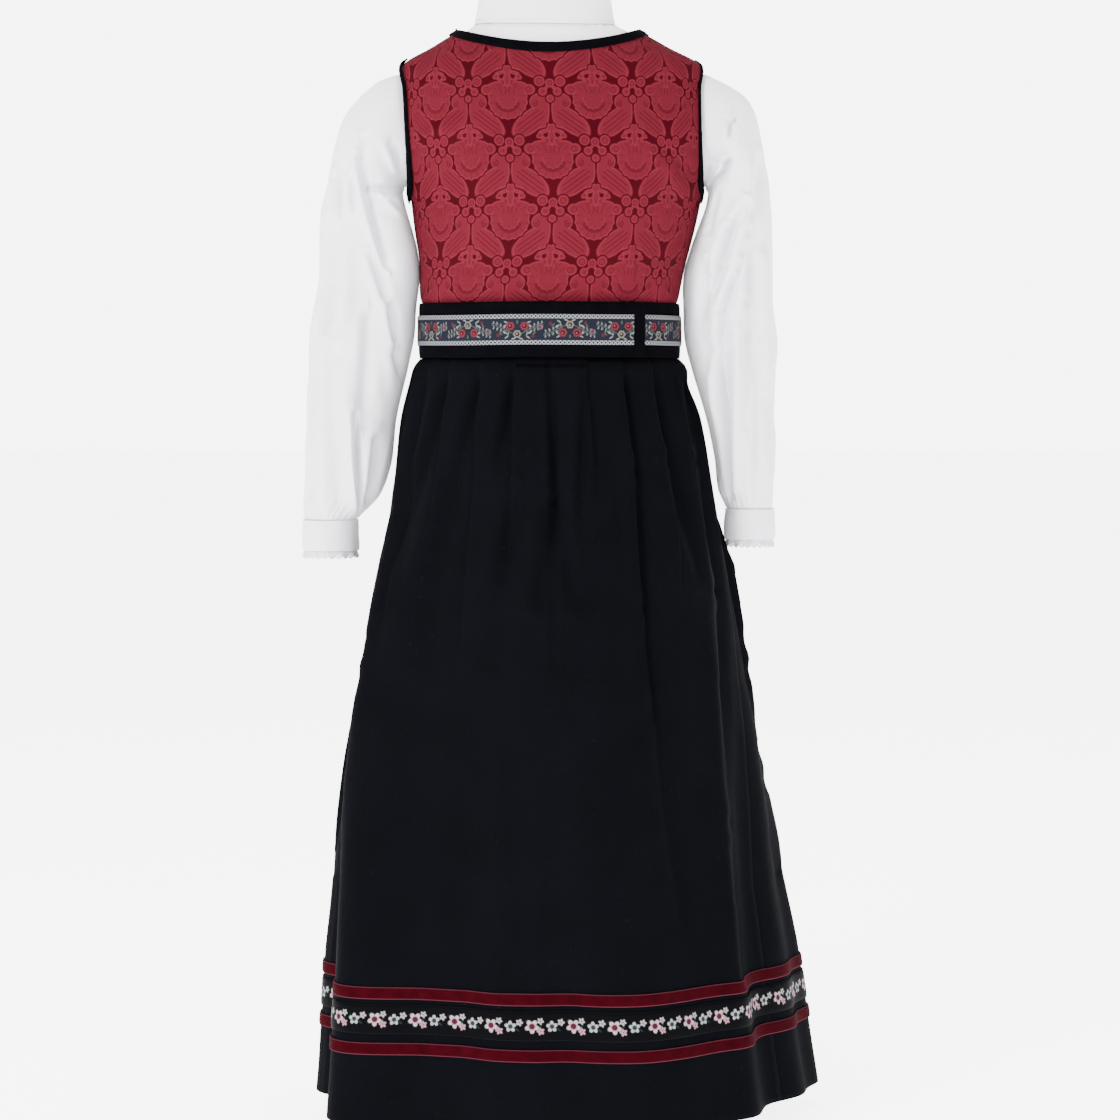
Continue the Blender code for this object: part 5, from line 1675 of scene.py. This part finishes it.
def make_waistband():
    def place(u, v):
        z = WAISTBAND_TOP_Z + (WAISTBAND_LOW_Z - WAISTBAND_TOP_Z) * v
        return waist_point(360 * u, WAISTBAND_LOW_Z, z, 0.6)

    def lay(u, v, point):
        return u * 590, v * 30

    piece = cloth_sheet("skirt_waistband_cloth", 160, 8, place, lay, "wool", ["skirt_waistband"],
                        1.9 * MM, wrap=True)


Band = namedtuple("Band", "name above_hem height cloth finish slot")
HEM_BANDS = (
    Band("hem_band_upper", 112, 10, 1.3, "red", "red_velvet"),
    Band("flower_ribbon", 98, 24, 1.0, "flower_ribbon", "woven_ribbon"),
    Band("hem_band_lower", 67, 10, 1.3, "red", "red_velvet"),
)


def make_hem_bands():
    columns = skirt_columns()
    for band in HEM_BANDS:
        top = SKIRT_HEM_Z + band.above_hem
        lengths = cumulative(columns, top - band.height / 2)
        stretch = round(lengths[-1] / 33) * 33 / lengths[-1]

        def place(u, v):
            rounding = -0.4 * abs(2 * v - 1) ** 8
            return skirt_point(between_columns(columns, u), top - band.height * v, LAID + band.cloth + rounding)

        def lay(u, v, point):
            return read_along(lengths, u) * stretch, v * band.height

        piece = cloth_sheet(band.name + "_cloth", len(columns) - 1, 8, place, lay, band.finish, [band.name],
                            band.cloth * 0.9 * MM, wrap=True)
        band.height * MM


SATIN_TOP_Z, SATIN_LOW_Z = -280, -283


def make_satin_strip():
    columns = skirt_columns()
    middle = len(columns) // 2
    part = columns[middle - COLUMNS_IN_PLEAT:middle + COLUMNS_IN_PLEAT + 1]

    def place(u, v):
        z = SATIN_TOP_Z + (SATIN_LOW_Z - SATIN_TOP_Z) * v
        return skirt_point(between_columns(part, u), z, LAID + 0.9)

    def lay(u, v, point):
        return u * 60, v * 3

    piece = cloth_sheet("satin_strip_cloth", 60, 4, place, lay, "velvet", ["satin_strip"], 0.8 * MM)


# Stage

CAMERA_X, CAMERA_Z, LOOK_Z = 0.0094, -0.306, -0.446
FLOOR_DROP = 0.02
HORIZON_LIGHT, SKY_LIGHT, FLOOR_LIGHT, SIDE_LIGHT = 6.8, 1.2, 5.5, 0.4


def make_stage():
    scene = bpy.context.scene
    data = bpy.data.cameras.new("camera")
    data.sensor_fit = "HORIZONTAL"
    data.angle = 2 * math.atan(sizes().picture_width / 2 / sizes().camera_distance)
    camera = bpy.data.objects.new("camera", data)
    camera.location = (CAMERA_X, -sizes().camera_distance, CAMERA_Z)
    aim = Vector((CAMERA_X, 0, LOOK_Z)) - camera.location
    camera.rotation_euler = aim.to_track_quat("-Z", "Y").to_euler()
    scene.collection.objects.link(camera)
    scene.camera = camera

    mesh = bmesh.new()
    bmesh.ops.create_circle(mesh, cap_ends=True, segments=96, radius=30)
    bmesh.ops.translate(mesh, vec=(0, 0, SKIRT_HEM_Z * MM - FLOOR_DROP), verts=mesh.verts)
    floor_data = bpy.data.meshes.new("floor")
    mesh.to_mesh(floor_data)
    mesh.free()
    finish = Finish("pale_floor", Roughness=0.9, Specular_IOR_Level=0.0, Emission_Strength=FLOOR_LIGHT)
    grain = finish.noise(finish.place(), 3.0, 2)
    pale = colours().floor
    tone = finish.mix(grain, [c * 0.98 for c in pale], list(pale))
    finish.finish(Base_Color=tone, Emission_Color=tone)
    floor_data.materials.append(finish.material)
    floor = bpy.data.objects.new("floor", floor_data)
    scene.collection.objects.link(floor)
    floor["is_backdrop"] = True

    world = bpy.data.worlds.new("studio")
    sky = Nodes(world)
    across, away, height = sky.split(sky.node("ShaderNodeTexCoord", output="Generated"))
    band = sky.stepped(height, 0.16, 0.4, HORIZON_LIGHT, SKY_LIGHT)
    slant = sky.stepped(across, -0.8, 0.8, SIDE_LIGHT, -SIDE_LIGHT)
    background = sky.nodes["Background"]
    sky.set(background.inputs["Color"], (1, 1, 1, 1))
    sky.set(background.inputs["Strength"], band * (1 + slant * away.inside(-0.1, 0.1)))
    scene.world = world
    lights = (
        ("key", (-1.8, -2.2, 1.3), 0.9, 165, (0, 0, -0.35)),
        ("fill", (1.8, -2.2, 0.6), 1.6, 40, (0, 0, -0.4)),
        ("top", (0.2, 0.4, 2.2), 1.6, 60, (0, 0, -0.2)),
    )
    for name, place, size, power, target in lights:
        lamp = bpy.data.lights.new(name, "AREA")
        lamp.size = size
        lamp.energy = power
        light = bpy.data.objects.new(name, lamp)
        light.location = place
        light.rotation_euler = (Vector(target) - Vector(place)).to_track_quat("-Z", "Y").to_euler()
        scene.collection.objects.link(light)


# Operators

class BUNAD_OT_shirt(bpy.types.Operator):
    """Make the shirt's body, collar, placket and buttons"""
    bl_idname = "bunad.shirt"
    bl_label = "Shirt"

    def execute(self, context):
        make_shirt_body()
        make_collar()
        make_placket()
        make_buttons()
        return {"FINISHED"}


class BUNAD_OT_sleeves(bpy.types.Operator):
    """Make the sleeves with their cuffs and lace"""
    bl_idname = "bunad.sleeves"
    bl_label = "Sleeves"

    def execute(self, context):
        make_sleeve("left", -1, LEFT_SLEEVE, LEFT_FOLDS)
        make_sleeve("right", 1, RIGHT_SLEEVE, RIGHT_FOLDS)
        for name, cuff in CUFFS.items():
            make_cuff(name, cuff)
        return {"FINISHED"}


class BUNAD_OT_bodice(bpy.types.Operator):
    """Make the damask bodice with its velvet bindings and hooks"""
    bl_idname = "bunad.bodice"
    bl_label = "Bodice"

    def execute(self, context):
        make_bodice()
        make_bindings()
        make_hooks()
        return {"FINISHED"}


class BUNAD_OT_belt(bpy.types.Operator):
    """Make the lapped velvet belt and its woven ribbon"""
    bl_idname = "bunad.belt"
    bl_label = "Belt"

    def execute(self, context):
        make_belt()
        return {"FINISHED"}


class BUNAD_OT_skirt(bpy.types.Operator):
    """Make the pleated skirt with its waistband, hem ribbons and satin strip"""
    bl_idname = "bunad.skirt"
    bl_label = "Skirt"

    def execute(self, context):
        make_waistband()
        make_skirt()
        make_hem_bands()
        make_satin_strip()
        return {"FINISHED"}


class BUNAD_OT_stage(bpy.types.Operator):
    """Make the camera, the pale floor and the soft lights"""
    bl_idname = "bunad.stage"
    bl_label = "Stage"

    def execute(self, context):
        make_stage()
        return {"FINISHED"}


OPERATORS = (BUNAD_OT_shirt, BUNAD_OT_sleeves, BUNAD_OT_bodice, BUNAD_OT_belt, BUNAD_OT_skirt, BUNAD_OT_stage)


class BUNAD_PT_panel(bpy.types.Panel):
    """Colours, sizes and makers of the costume"""
    bl_idname = "BUNAD_PT_panel"
    bl_label = "Bunad Costume"
    bl_space_type = "VIEW_3D"
    bl_region_type = "UI"
    bl_category = "Bunad"

    def draw(self, context):
        for group in (context.scene.bunad_colours, context.scene.bunad_sizes):
            box = self.layout.box()
            for name in group.__annotations__:
                box.prop(group, name)
        for operator in OPERATORS:
            self.layout.operator(operator.bl_idname)


CLASSES = (BunadColours, BunadSizes, *OPERATORS, BUNAD_PT_panel)


def register():
    for one in CLASSES:
        bpy.utils.register_class(one)
    bpy.types.Scene.bunad_colours = bpy.props.PointerProperty(type=BunadColours)
    bpy.types.Scene.bunad_sizes = bpy.props.PointerProperty(type=BunadSizes)


def unregister():
    del bpy.types.Scene.bunad_sizes
    del bpy.types.Scene.bunad_colours
    for one in reversed(CLASSES):
        bpy.utils.unregister_class(one)


def plain(box):
    return [list(map(float, corner)) for corner in box]


def main():
    register()
    bpy.ops.bunad.shirt()
    bpy.ops.bunad.sleeves()
    bpy.ops.bunad.bodice()
    bpy.ops.bunad.belt()
    bpy.ops.bunad.skirt()
    bpy.ops.bunad.stage()
    {"cad": plain(CAD_BOX), "visual": plain(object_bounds())}


if __name__ == "__main__":
    main()
